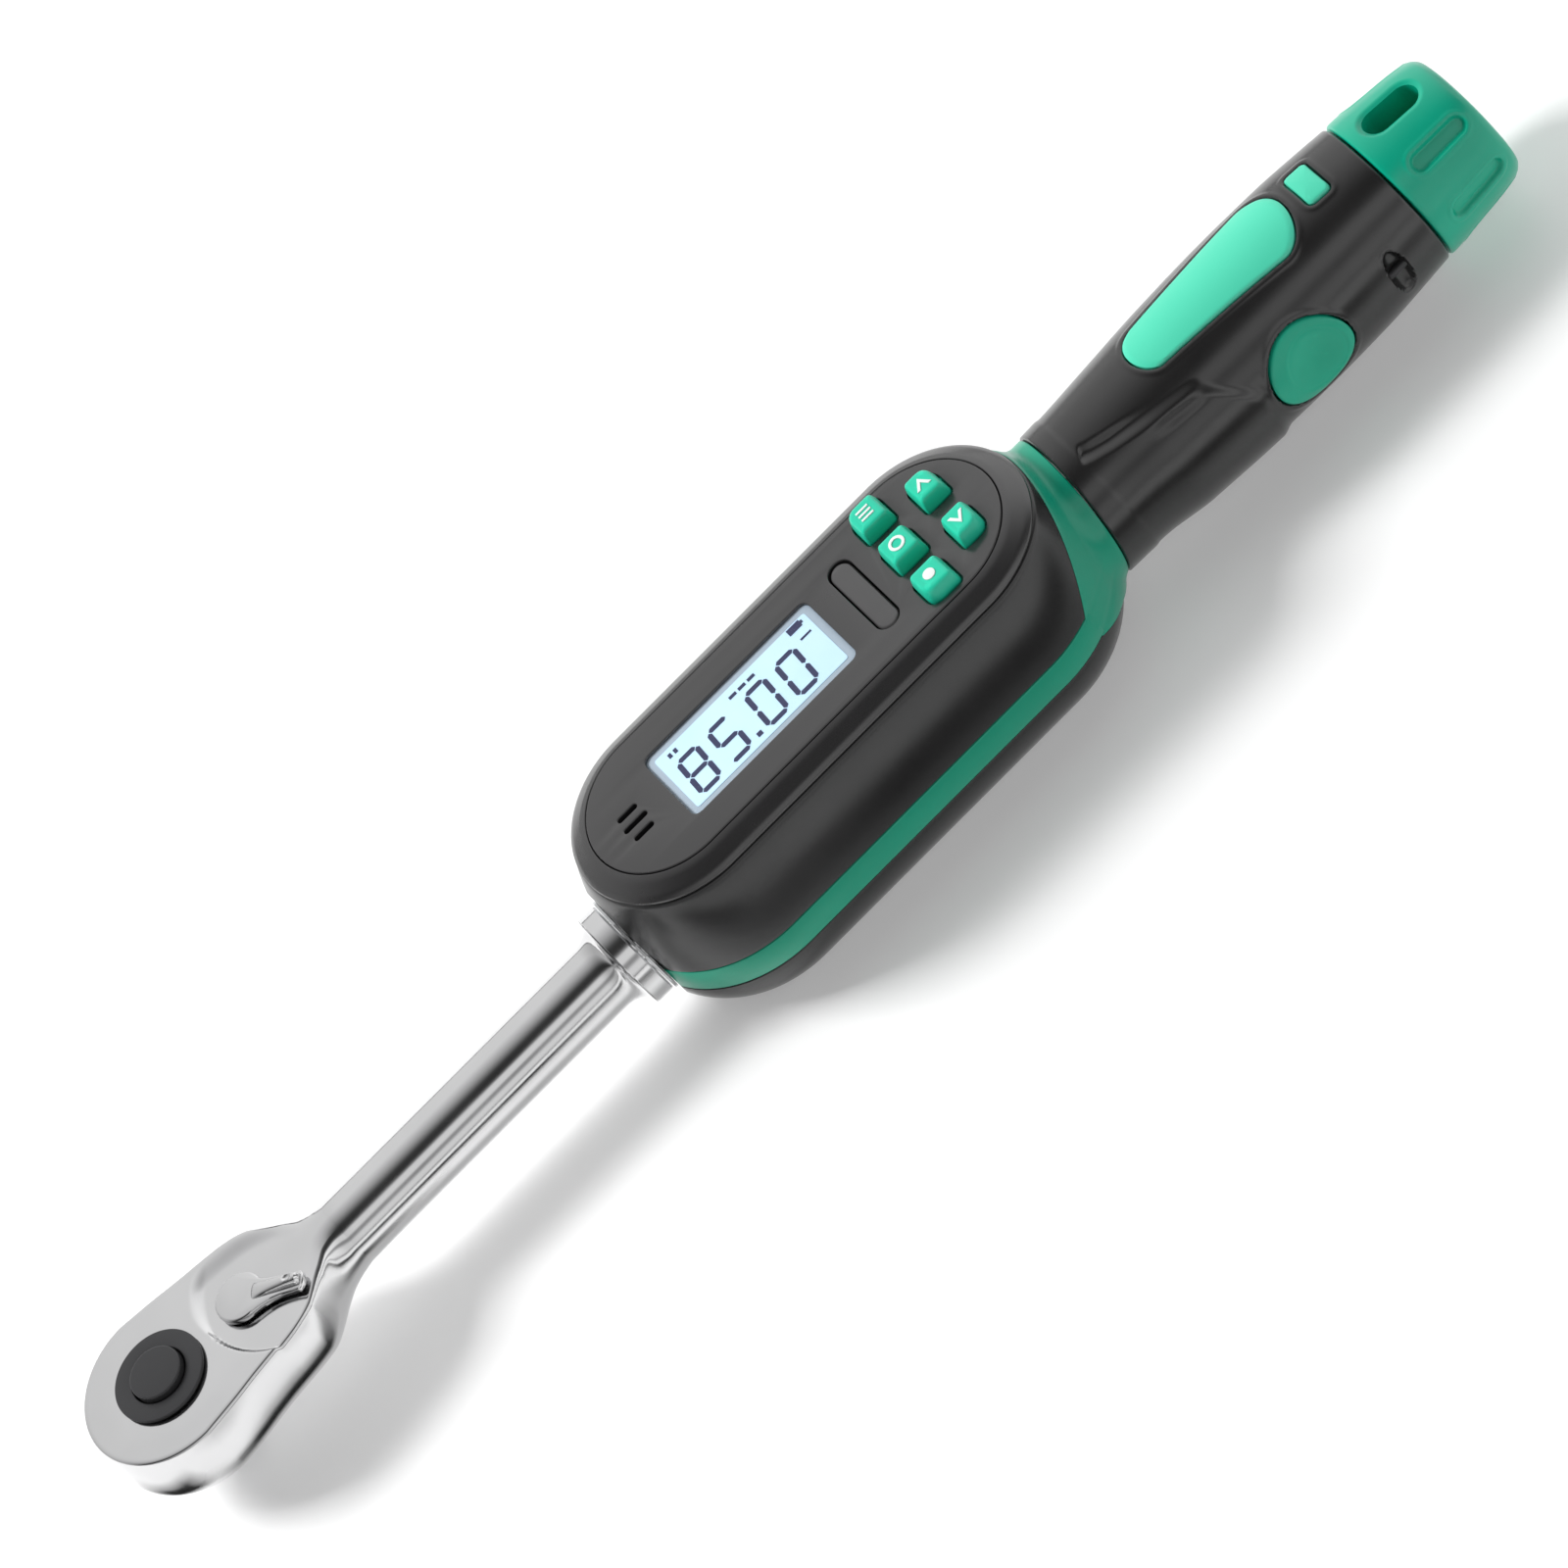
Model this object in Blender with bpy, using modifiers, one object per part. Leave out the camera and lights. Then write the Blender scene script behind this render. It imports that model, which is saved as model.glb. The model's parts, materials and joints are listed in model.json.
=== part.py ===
"""Digital torque wrench with a round ratchet head, an electronics pod and a screw-capped battery handle.

X runs along the tool from the drive axis to the end cap, Z points out of the display, and Y completes
the frame. The origin is the middle of the drive square's tip face, which is level with the pod's flat
underside, so the tool rests on both. Dimensions are in millimetres until they are built, in metres.
"""

import math

import bmesh
import bpy
import numpy as np
from mathutils import Vector

for old in list(bpy.data.objects):
    bpy.data.objects.remove(old, do_unlink=True)

MM = 0.001
GAP = 0.3

# Whole tool
AXIS_Z = 19.5  # height of the wrench's long axis above the underside
TOOL_END = 343.4

# Ratchet head, heights from the long axis
HEAD_R = 18.8
HEAD_TOP = 7.9
HEAD_BOTTOM = -8.5
HEAD_EDGE = 2.0
STEP_DOWN = 0.9  # the face around the lever lies this much lower
STEP_R = 18.1
STEP_X = 30.5
SHAFT_R = 7.3
SHAFT_END = 111.7
COLLAR_R = 10.85
COLLAR_X0, COLLAR_X1 = 116.3, 120.2
GEAR_R = 11.6
GEAR_TEETH = 30
SQUARE = 9.53  # 3/8 inch drive
NECK_R = 7.7
LEVER_X = 21.1
LEVER_R = 5.35
LEVER_ANGLE = -38.0

# Pod
POD_R = 25.9
POD_X0, POD_X1 = 145.0, 212.6
POD_FLAT = 121.3
BAND_TOP, BAND_BOTTOM = 0.4, -6.1
DECK = 19.7
POD_BOTTOM = -19.5
ROUND = 13.0
WALL = 2.2
BEZEL_TOP = 23.3
BEZEL_R = 17.2
BEZEL_BASE_R = 22.2

# Handle
TUBE_R, TUBE_BORE = 13.0, 10.9
COLLAR_END = 238.0
COLLAR_BORE = 13.4
END_TILT = 0.13
GRIP_START_R = 15.95
GRIP_END = 321.5
GRIP_X = (232.0, 244.0, 258.0, 274.0, 290.0, 304.0, 314.0, 321.5)
GRIP_R = (15.95, 16.2, 17.0, 17.9, 18.25, 18.05, 17.45, 16.85)
CELL_R, CELL_LONG = 5.25, 44.5

# Cap
CAP_X0 = 322.0
CAP_R = 16.9
SLOT_X, SLOT_LONG, SLOT_WIDE = 332.0, 12.4, 5.8

parts = bpy.data.collections.new("digital_torque_wrench")
helpers = bpy.data.collections.new("cutters")
bpy.context.scene.collection.children.link(parts)
bpy.context.scene.collection.children.link(helpers)


def paint(name, colour, roughness, metallic=0.0):
    made = bpy.data.materials.new(name + "_finish")
    made.use_nodes = True
    shader = made.node_tree.nodes["Principled BSDF"]
    shader.inputs["Base Color"].default_value = (*colour, 1.0)
    shader.inputs["Roughness"].default_value = roughness
    shader.inputs["Metallic"].default_value = metallic
    made.diffuse_color = (*colour, 1.0)
    return made


CHROME = ((0.78, 0.78, 0.79), 0.12, 1.0)
STEEL = ((0.55, 0.56, 0.58), 0.35, 1.0)
BLACK = ((0.018, 0.018, 0.02), 0.38)
BLACK_STEEL = ((0.03, 0.03, 0.032), 0.4, 0.6)
RUBBER = ((0.022, 0.022, 0.024), 0.6)
GREEN = ((0.0, 0.29, 0.17), 0.35)
MINT = ((0.06, 0.62, 0.38), 0.4)
BRASS = ((0.75, 0.55, 0.2), 0.3, 1.0)
BOARD = ((0.01, 0.16, 0.06), 0.45)
GLASS = ((0.62, 0.72, 0.82), 0.08)
WHITE = ((0.85, 0.9, 0.95), 0.4)


def place(name, mesh, finish, collection=None):
    made = bpy.data.objects.new(name, mesh)
    if collection is None:
        collection = parts
        mesh.materials.clear()
        mesh.materials.append(paint(name, *finish))
    collection.objects.link(made)
    if collection is helpers:
        made.hide_render = True
        made.display_type = "WIRE"
    mesh.shade_smooth()
    mesh.set_sharp_from_angle(angle=math.radians(32))
    return made


def bake(name, bm, finish, turn_out=True):
    if turn_out:
        bmesh.ops.recalc_face_normals(bm, faces=bm.faces)
    mesh = bpy.data.meshes.new(name)
    bm.to_mesh(mesh)
    bm.free()
    return place(name, mesh, finish, None if finish else helpers)


def loft(name, rings, finish=None, ring=False):
    """Closed rings of equal point count, joined in turn. With ring, the last joins the first."""
    bm = bmesh.new()
    rows = [[bm.verts.new(Vector(p) * MM) for p in row] for row in rings]
    count = len(rows[0])
    pairs = list(zip(rows, rows[1:]))
    if ring:
        pairs.append((rows[-1], rows[0]))
    for low, high in pairs:
        for i in range(count):
            j = (i + 1) % count
            bm.faces.new((low[i], low[j], high[j], high[i]))
    if not ring:
        bm.faces.new(rows[0][::-1])
        bm.faces.new(rows[-1])
    # Flat triangles, so that no face is twisted when the shape is cut
    bmesh.ops.triangulate(bm, faces=bm.faces[:])
    return bake(name, bm, finish)


def ball(name, centre, radii, finish=None, columns=12, rows=8, spin=0.0):
    """An ellipsoid with its poles on X, spun about X."""
    bm = bmesh.new()
    bmesh.ops.create_uvsphere(bm, u_segments=columns, v_segments=rows, radius=1.0)
    for v in bm.verts:
        v.co = Vector((v.co.z * radii[0], v.co.x * radii[1], v.co.y * radii[2])) * MM
    made = bake(name, bm, finish, False)
    made.location = Vector(centre) * MM
    made.rotation_euler = (spin, 0, 0)
    return made


def box(name, low, high, finish=None, bevel=0.0):
    bm = bmesh.new()
    bmesh.ops.create_cube(bm, size=1.0)
    low, high = Vector(low) * MM, Vector(high) * MM
    for v in bm.verts:
        v.co = Vector(a + (b - a) * (c + 0.5) for a, b, c in zip(low, high, v.co))
    made = bake(name, bm, finish)
    if bevel:
        soften(made, bevel)
    return made


def soften(made, width, segments=1, angle=40):
    mod = made.modifiers.new("edges", "BEVEL")
    mod.width = width * MM
    mod.segments = segments
    mod.limit_method = "ANGLE"
    mod.angle_limit = math.radians(angle)


def turned(name, profile, centre=(0, 0, 0), axis="Z", steps=24, finish=None):
    """Spins (radius, height) points about the axis through centre. A profile off the axis is closed up."""
    bm = bmesh.new()
    points = [bm.verts.new(Vector((r, 0, h)) * MM) for r, h in profile]
    for a, b in zip(points, points[1:]):
        bm.edges.new((a, b))
    if profile[0][0] > 0 and profile[-1][0] > 0:
        bm.edges.new((points[-1], points[0]))
    area = sum(a[0] * b[1] - b[0] * a[1] for a, b in zip(profile, profile[1:] + profile[:1]))
    mesh = bpy.data.meshes.new(name)
    bm.to_mesh(mesh)
    bm.free()
    made = place(name, mesh, finish, None if finish else helpers)
    made.location = Vector(centre) * MM
    if axis == "X":
        made.rotation_euler = (0, math.pi / 2, 0)
    elif axis == "Y":
        made.rotation_euler = (-math.pi / 2, 0, 0)
    mod = made.modifiers.new("turn", "SCREW")
    mod.steps = mod.render_steps = steps
    mod.use_merge_vertices = True
    mod.merge_threshold = 0.00001
    mod.use_smooth_shade = False
    mod.use_normal_flip = area > 0
    return made


def rod(name, r, low, high, centre=(0, 0, 0), axis="Z", steps=16, finish=None):
    return turned(name, [(0, high), (r, high), (r, low), (0, low)], centre, axis, steps, finish)


def sleeve(name, outer, inner, low, high, centre=(0, 0, 0), axis="Z", steps=24, finish=None):
    return turned(name, [(outer, high), (outer, low), (inner, low), (inner, high)], centre, axis, steps, finish)


def to_mesh(curve, name, finish, centre):
    made = bpy.data.objects.new(name + "_curve", curve)
    helpers.objects.link(made)
    made.location = Vector(centre) * MM
    bpy.context.view_layer.update()
    graph = bpy.context.evaluated_depsgraph_get()
    mesh = bpy.data.meshes.new_from_object(made.evaluated_get(graph))
    bm = bmesh.new()
    bm.from_mesh(mesh)
    bmesh.ops.remove_doubles(bm, verts=bm.verts, dist=0.000002)
    bmesh.ops.recalc_face_normals(bm, faces=bm.faces)
    bm.to_mesh(mesh)
    bm.free()
    mesh.name = name
    matrix = made.matrix_world.copy()
    bpy.data.objects.remove(made, do_unlink=True)
    solid = place(name, mesh, finish, None if finish else helpers)
    solid.matrix_world = matrix
    return solid


def plate(name, outlines, low, high, finish=None):
    """A flat outline, with any holes as further outlines, between two heights."""
    curve = bpy.data.curves.new(name, "CURVE")
    curve.dimensions = "2D"
    curve.fill_mode = "BOTH"
    curve.extrude = (high - low) / 2 * MM
    for outline in outlines:
        spline = curve.splines.new("POLY")
        spline.points.add(len(outline) - 1)
        for point, (x, y) in zip(spline.points, outline):
            point.co = (x * MM, y * MM, 0, 1)
        spline.use_cyclic_u = True
    return to_mesh(curve, name, finish, (0, 0, (low + high) / 2))


def wire(name, points, radius, finish, sides=2):
    curve = bpy.data.curves.new(name, "CURVE")
    curve.dimensions = "3D"
    curve.bevel_depth = radius * MM
    curve.bevel_resolution = sides
    curve.use_fill_caps = True
    spline = curve.splines.new("POLY")
    spline.points.add(len(points) - 1)
    for point, place_at in zip(spline.points, points):
        point.co = (*(Vector(place_at) * MM), 1)
    return to_mesh(curve, name, finish, (0, 0, 0))


def cut(made, *cutters, how="DIFFERENCE"):
    for cutter in cutters:
        mod = made.modifiers.new("cut", "BOOLEAN")
        mod.operation = how
        mod.solver = "EXACT"
        mod.object = cutter


def circle(x, y, r, count=12, turn=0.0):
    return [
        (x + r * math.cos(2 * math.pi * i / count + turn), y + r * math.sin(2 * math.pi * i / count + turn))
        for i in range(count)
    ]


def stadium(x0, x1, r, half=12, flat=None):
    """Half circles about x0 and x1, from the lower left round by +X. flat cuts the left end square."""
    right = [(x1 + r * math.sin(a), -r * math.cos(a)) for a in np.linspace(0, math.pi, half + 1)]
    left = [(x0 - r * math.sin(a), r * math.cos(a)) for a in np.linspace(0, math.pi, half + 1)]
    if flat is not None:
        left = [(max(x, flat), y) for x, y in left]
    return right + left


def level(outline, z):
    return [(x, y, z) for x, y in outline]


def smooth(t):
    t = min(max(t, 0.0), 1.0)
    return t * t * (3 - 2 * t)


Z = AXIS_Z

# ---------------------------------------------------------------- ratchet head and shaft


def head_half_width(x):
    """Half width of the head's outline past the round end, drawn in to the shaft."""
    round_part = math.sqrt(max(HEAD_R**2 - x * x, 0.0))
    tail = np.interp(x, (4.0, 17.0, 26.5, 30.0, 34.0, 38.0, 42.0), (18.35, 16.1, 14.9, 13.5, 11.0, 8.4, 7.1))
    return round_part if x <= 4.0 else float(tail)


def head_ring(height, inset):
    radius = HEAD_R - inset
    turn = [
        (radius * math.cos(a), radius * math.sin(a)) for a in np.radians(np.linspace(82, 278, 17))
    ]
    chord = math.sqrt(max(SHAFT_R**2 - height**2, 0.35**2)) * 0.985
    stations = (8.0, 12.5, 17.0, 22.0, 26.5, 30.0, 34.0, 38.0, 42.0, 46.0)
    side = []
    for x in stations:
        blend = smooth((x - 27.0) / 15.0)
        wide = (1 - blend) * (head_half_width(x) - inset) + blend * chord
        side.append((x, wide if x < 46 else chord * 0.9))
    return level([(x, -y) for x, y in side][::-1][:0] + turn + [(x, -y) for x, y in side] + side[::-1], Z + height)


head = loft(
    "ratchet_head",
    [
        head_ring(HEAD_BOTTOM + HEAD_EDGE * (1 - math.cos(a)), HEAD_EDGE * (1 - math.sin(a)))
        for a in np.radians((0, 45, 90))
    ]
    + [head_ring(2.0, 0.0), head_ring(HEAD_TOP - 0.9, 0.15), head_ring(HEAD_TOP - 0.3, 0.5), head_ring(HEAD_TOP, 1.1)],
    CHROME,
)
cut(head, rod("step_cutter", STEP_R, HEAD_TOP - STEP_DOWN, HEAD_TOP + 3, (STEP_X, 0, Z), steps=28))
flare = [
    (SHAFT_R + (COLLAR_R - SHAFT_R) * (1 - math.cos(t * math.pi / 2)), SHAFT_END + (COLLAR_X0 - SHAFT_END) * math.sin(t * math.pi / 2))
    for t in (0.3, 0.6, 0.8, 1.0)
]
shaft_profile = [(0, 33.0), (6.2, 33.0), (6.5, 36.4), (SHAFT_R, 41.0), (SHAFT_R, SHAFT_END)] + flare + [
    (COLLAR_R, COLLAR_X1),
    (6.5, COLLAR_X1),
    (6.5, 124.2),
    (4.2, 124.2),
    (4.2, 148.0),
    (0, 148.0),
]
cut(head, turned("shaft_solid", shaft_profile[::-1], (0, 0, Z), "X", 20), how="UNION")
cut(
    head,
    rod("gear_bore", 12.8, -12.0, 4.4, (0, 0, Z), steps=20),
    plate("pawl_pocket", [stadium(8.0, 19.5, 9.5, 10)], Z - 12.0, Z + 4.4),
    rod("neck_bore", 8.1, 3.0, 12.0, (0, 0, Z), steps=16),
    rod("lever_bore", 4.6, 3.0, 12.0, (LEVER_X, 0, Z), steps=16),
    plate("back_plate_seat", [[(x, y) for x, y, _ in head_ring(HEAD_BOTTOM, 2.9)][:17] + [(8, -14.6), (17, -13.2), (25, -11.8), (31.5, -7.0), (31.5, 7.0), (25, 11.8), (17, 13.2), (8, 14.6)]], Z - 10.0, Z - 6.6),
    rod("back_screw_hole_1", 1.3, -7.0, -1.0, (9.5, 12.2, Z), steps=10),
    rod("back_screw_hole_2", 1.3, -7.0, -1.0, (9.5, -12.2, Z), steps=10),
    rod("shank_pin_hole", 1.8, -8.0, 8.0, (136.0, 0, Z), "Y", 10),
)

back_outline = [(x, y) for x, y, _ in head_ring(HEAD_BOTTOM, 2.9 + GAP)][:17] + [
    (8, -14.3), (17, -12.9), (24.9, -11.5), (31.2, -6.9), (31.2, 6.9), (24.9, 11.5), (17, 12.9), (8, 14.3)
]
plate(
    "head_back_plate",
    [back_outline, circle(0, 0, 8.1, 24), circle(9.5, 12.2, 1.3, 10), circle(9.5, -12.2, 1.3, 10)],
    Z + HEAD_BOTTOM,
    Z - 6.9,
    CHROME,
)
screw_profile = [(0, 5.2), (1.0, 5.2), (1.0, -2.2), (1.9, -2.2), (1.9, -3.0), (1.3, -3.3), (0, -3.3)]


for index, side in ((1, -1), (2, 1)):
    turned(f"back_plate_screw_{index}", screw_profile, (9.5, side * 12.2, Z - 6.6), "Z", 10, STEEL)

# Anvil with its ratchet teeth, turning on Z through the origin
tooth = []
for i in range(GEAR_TEETH * 2):
    angle = math.pi * (i + 0.5) / GEAR_TEETH
    radius = GEAR_R if i % 2 else GEAR_R - 0.75
    tooth.append((radius * math.cos(angle), radius * math.sin(angle)))
anvil = plate("drive_anvil", [tooth], Z - 6.2, Z + 4.0, STEEL)
square = SQUARE / 2
chamfer = 0.8
corner = [(square, square - chamfer), (square - chamfer, square)]
outline = []
for quarter in range(4):
    c, s = math.cos(quarter * math.pi / 2), math.sin(quarter * math.pi / 2)
    outline += [(x * c - y * s, x * s + y * c) for x, y in corner]
shrunk = [(x * 0.9, y * 0.9) for x, y in outline]
cut(
    anvil,
    turned("anvil_neck", [(0, -5.0), (NECK_R, -5.0), (NECK_R, -8.8), (7.0, -8.8), (7.0, -9.7), (NECK_R, -9.7), (NECK_R, -10.3), (7.0, -10.8), (0, -10.8)], (0, 0, Z), steps=24),
    loft("anvil_square", [level(shrunk, 0.0), level(outline, 1.0), level(outline, Z - 9.0)]),
    how="UNION",
)
cut(
    anvil,
    turned("anvil_bore", [(0, 6.0), (3.4, 6.0), (3.4, -3.0), (2.2, -3.0), (2.2, -18.0), (0, -18.0)], (0, 0, Z), steps=14),
    rod("ball_hole", 1.9, -8.0, 0.0, (0, 0, Z - 13.6), "Y", 12),
)
ball("retaining_ball", (0, -3.85, Z - 13.6), (1.6, 1.6, 1.6), STEEL)
ring_angles = np.radians(np.linspace(18, 342, 22))
plate(
    "snap_ring",
    [[(9.0 * math.cos(a), 9.0 * math.sin(a)) for a in ring_angles] + [(7.35 * math.cos(a), 7.35 * math.sin(a)) for a in ring_angles[::-1]]],
    Z - 9.6,
    Z - 8.9,
    STEEL,
)
turned(
    "anvil_cap",
    [(6.0, 8.95), (9.5, 8.95), (9.8, 8.65), (9.8, 8.2), (NECK_R, 8.2), (NECK_R, 4.3), (6.0, 4.3)],
    (0, 0, Z),
    steps=24,
    finish=BLACK_STEEL,
)
release = turned(
    "release_button",
    [(0, 10.3), (5.2, 10.3), (5.65, 9.9), (5.65, 6.4), (2.6, 6.4), (2.6, 5.0), (1.8, 5.0), (1.8, 8.2), (0, 8.2)],
    (0, 0, Z),
    steps=24,
    finish=BLACK_STEEL,
)
turned(
    "release_pin",
    [(0, 7.9), (1.5, 7.9), (1.5, -10.0), (0.9, -10.6), (0.9, -12.4), (1.85, -12.9), (1.85, -15.4), (0, -15.7)],
    (0, 0, Z),
    steps=12,
    finish=STEEL,
)


def coil(start, axis, radius, long, turns, per_turn=6):
    """Points of a helix from start along axis."""
    axis = Vector(axis)
    side = axis.orthogonal().normalized()
    other = axis.cross(side)
    count = int(turns * per_turn)
    return [
        Vector(start)
        + axis * (long * i / count)
        + radius * (side * math.cos(2 * math.pi * i / per_turn) + other * math.sin(2 * math.pi * i / per_turn))
        for i in range(count + 1)
    ]


wire("release_spring", coil((0, 0, Z - 2.3), (0, 0, 1), 2.45, 6.6, 3.5), 0.35, STEEL)

# Reversing lever, turning on Z through (LEVER_X, 0)
angle = math.radians(LEVER_ANGLE)
along, across = Vector((math.cos(angle), math.sin(angle))), Vector((-math.sin(angle), math.cos(angle)))


def lever_point(forward, side):
    p = Vector((LEVER_X, 0)) + along * forward + across * side
    return (p.x, p.y)


def lever_outline(grow=0.0):
    disc = [lever_point((LEVER_R + grow) * math.cos(a), (LEVER_R + grow) * math.sin(a)) for a in np.radians(np.linspace(42, 318, 19))]
    return disc + [lever_point(8.0, -2.7 - grow), lever_point(12.8, -2.3 - grow), lever_point(14.4 + grow, -1.3), lever_point(14.4 + grow, 1.3), lever_point(12.8, 2.3 + grow), lever_point(8.0, 2.7 + grow)]


lever_top = HEAD_TOP - STEP_DOWN + GAP
lever = plate("reversing_lever", [lever_outline()], Z + lever_top, Z + 8.5, CHROME)
ridge = loft(
    "lever_ridge",
    [
        [(*lever_point(3.4, -0.5), Z + 8.3), (*lever_point(14.0, -2.0), Z + 8.3), (*lever_point(14.0, 2.0), Z + 8.3), (*lever_point(3.4, 0.5), Z + 8.3)],
        [(*lever_point(4.4, -0.3), Z + 8.9), (*lever_point(13.6, -1.1), Z + 10.6), (*lever_point(13.6, 1.1), Z + 10.6), (*lever_point(4.4, 0.3), Z + 8.9)],
    ],
)
cut(lever, ridge, rod("lever_spigot", 3.3, -5.4, 8.0, (LEVER_X, 0, Z), steps=16), how="UNION")
spring_way = rod("lever_spring_way", 1.35, 0.6, 9.0, (LEVER_X, 0, Z - 1.0), "X", 10)
spring_way.rotation_euler = (0, math.pi / 2, angle)
cut(lever, spring_way)
sleeve("lever_seal", 4.3, 3.6, 4.9, 6.4, (LEVER_X, 0, Z), steps=16, finish=RUBBER)
ball("detent_ball", (*lever_point(6.3, 0), Z - 1.0), (1.15, 1.15, 1.15), STEEL, 10, 6)
wire("detent_spring", coil((*lever_point(1.3, 0), Z - 1.0), (along.x, along.y, 0), 0.85, 3.4, 3), 0.2, STEEL)

# Double-ended pawl round the lever's spigot
PAWL_FACE = 12.9
PAWL_TURN = 4.3
face = []
for i, a in enumerate(np.radians(np.linspace(-35, 35, 17))):
    bite = 0.35 if i % 2 and (i < 5 or i > 11) else 0.0
    face.append(((PAWL_FACE + bite) * math.cos(a), (PAWL_FACE + bite) * math.sin(a)))
back = [(LEVER_X + 6.4 * math.cos(a), 6.4 * math.sin(a)) for a in np.radians(np.linspace(118, 64, 5))]
front = [(LEVER_X + 3.75 * math.cos(a), 3.75 * math.sin(a)) for a in np.radians(np.linspace(64, 296, 13))]
pawl_outline = face + back + front + [(x, -y) for x, y in back[::-1]]
pawl_shift = math.radians(-PAWL_TURN)
pawl_outline = [
    (
        LEVER_X + (x - LEVER_X) * math.cos(pawl_shift) - y * math.sin(pawl_shift),
        (x - LEVER_X) * math.sin(pawl_shift) + y * math.cos(pawl_shift),
    )
    for x, y in pawl_outline
]
plate("ratchet_pawl", [pawl_outline], Z - 5.7, Z + 3.7, STEEL)

# ---------------------------------------------------------------- pod shells


def pod_inset(height):
    if height >= BAND_TOP:
        return (POD_R - BEZEL_BASE_R) * ((height - BAND_TOP) / (DECK - BAND_TOP)) ** 2.2
    t = min(max((BAND_BOTTOM - height) / (BAND_BOTTOM - POD_BOTTOM), 0.0), 1.0)
    return ROUND * (1 - math.sqrt(1 - t * t))


def pod_ring(height, inside=0.0, flat=POD_FLAT, half=10):
    return level(stadium(POD_X0, POD_X1, POD_R - pod_inset(height) - inside, half, flat + inside), Z + height)


def wedge(name, points):
    """A prism across the whole width, from points in the X and height plane."""
    return loft(name, [[(x, y, Z + h) for x, h in points] for y in (-40, 40)])


UPPER_SLOPE, LOWER_SLOPE, BAND_END = 0.61, 1.7, 223.7


def band_end(height):
    """X where the housings give way to the green collar, at this height."""
    if height > BAND_TOP:
        return BAND_END + UPPER_SLOPE * (height - BAND_TOP)
    if height < BAND_BOTTOM:
        return BAND_END + LOWER_SLOPE * (BAND_BOTTOM - height)
    return BAND_END


neck = rod("neck_hole", 6.9, 115.0, 126.0, (0, 0, Z), "X", 20)
POSTS = [(150.0, 19.0), (150.0, -19.0), (208.0, 19.0), (208.0, -19.0)]

upper = loft("upper_housing", [pod_ring(h) for h in (BAND_TOP + GAP, 8.0, 13.5, 17.0, DECK)], BLACK)
upper_hollow = loft("upper_hollow", [pod_ring(h, WALL, POD_FLAT) for h in (-2.0, 12.0, 17.5)])
cut(upper_hollow, *[rod(f"upper_post_{i}", 3.2, -5.0, 19.0, (x, y, Z), steps=12) for i, (x, y) in enumerate(POSTS)])
cut(
    upper,
    upper_hollow,
    plate("deck_opening", [stadium(POD_X0, POD_X1, 17.3, 9)], Z + 16.0, Z + 22.0),
    neck,
    wedge("upper_end", [(band_end(-3.0) - GAP, -3.0), (BAND_END - GAP, BAND_TOP), (band_end(26.0) - GAP, 26.0), (260.0, 26.0), (260.0, -3.0)]),
    *[rod(f"upper_screw_way_{i}", 1.5, -3.0, 12.0, (x, y, Z), steps=10) for i, (x, y) in enumerate(POSTS)],
)

lower_heights = [BAND_BOTTOM - GAP] + [BAND_BOTTOM - (BAND_BOTTOM - POD_BOTTOM) * math.sin(t * math.pi / 2) for t in (0.3, 0.55, 0.78, 1.0)]
lower = loft("lower_housing", [pod_ring(h) for h in lower_heights[::-1]], BLACK)
lower_hollow = loft(
    "lower_hollow",
    [level(stadium(POD_X0, POD_X1, POD_R - pod_inset(h) - inside, 8, POD_FLAT + WALL), Z + h) for h, inside in ((-17.2, 3.2), (-15.4, 2.6), (-11.0, WALL), (-4.0, WALL))],
)
cut(lower_hollow, *[rod(f"lower_boss_{i}", 4.0, -22.0, -1.0, (x, y, Z), steps=12) for i, (x, y) in enumerate(POSTS)])
cut(
    lower,
    lower_hollow,
    neck,
    wedge("lower_end", [(BAND_END - GAP, -3.0), (BAND_END - GAP, BAND_BOTTOM), (band_end(-24.0) - GAP, -24.0), (275.0, -24.0), (275.0, -3.0)]),
    rod("tube_way", COLLAR_BORE, 226.0, 245.0, (0, 0, Z), "X", 24),
    *[rod(f"screw_well_{i}", 2.8, -24.0, -13.4, (x, y, Z), steps=14) for i, (x, y) in enumerate(POSTS)],
    *[rod(f"lower_screw_way_{i}", 1.5, -14.0, -3.0, (x, y, Z), steps=10) for i, (x, y) in enumerate(POSTS)],
)
for i, (x, y) in enumerate(POSTS):
    turned(
        f"housing_screw_{i + 1}",
        [(0, 10.0), (1.2, 9.6), (1.2, -13.7), (2.4, -13.7), (2.4, -15.2), (1.9, -15.6), (0, -15.6)],
        (x, y, Z),
        "Z",
        10,
        STEEL,
    )

# Green band: a ring between the housings and a collar that draws the pod in to the handle


def pod_reach(angle, x_of):
    """Distance from the long axis to the pod's surface in this direction, in the section at x_of(height)."""
    low, high = 0.0, 40.0
    for _ in range(40):
        mid = (low + high) / 2
        h, y = mid * math.sin(angle), abs(mid * math.cos(angle))
        inside = POD_BOTTOM <= h <= DECK
        if inside:
            r = POD_R - pod_inset(h)
            dx = x_of(h) - POD_X1
            inside = dx < r and y <= math.sqrt(max(r * r - dx * dx, 0.0))
        low, high = (mid, high) if inside else (low, mid)
    return low


def collar_end(height):
    return COLLAR_END + END_TILT * height


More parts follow.
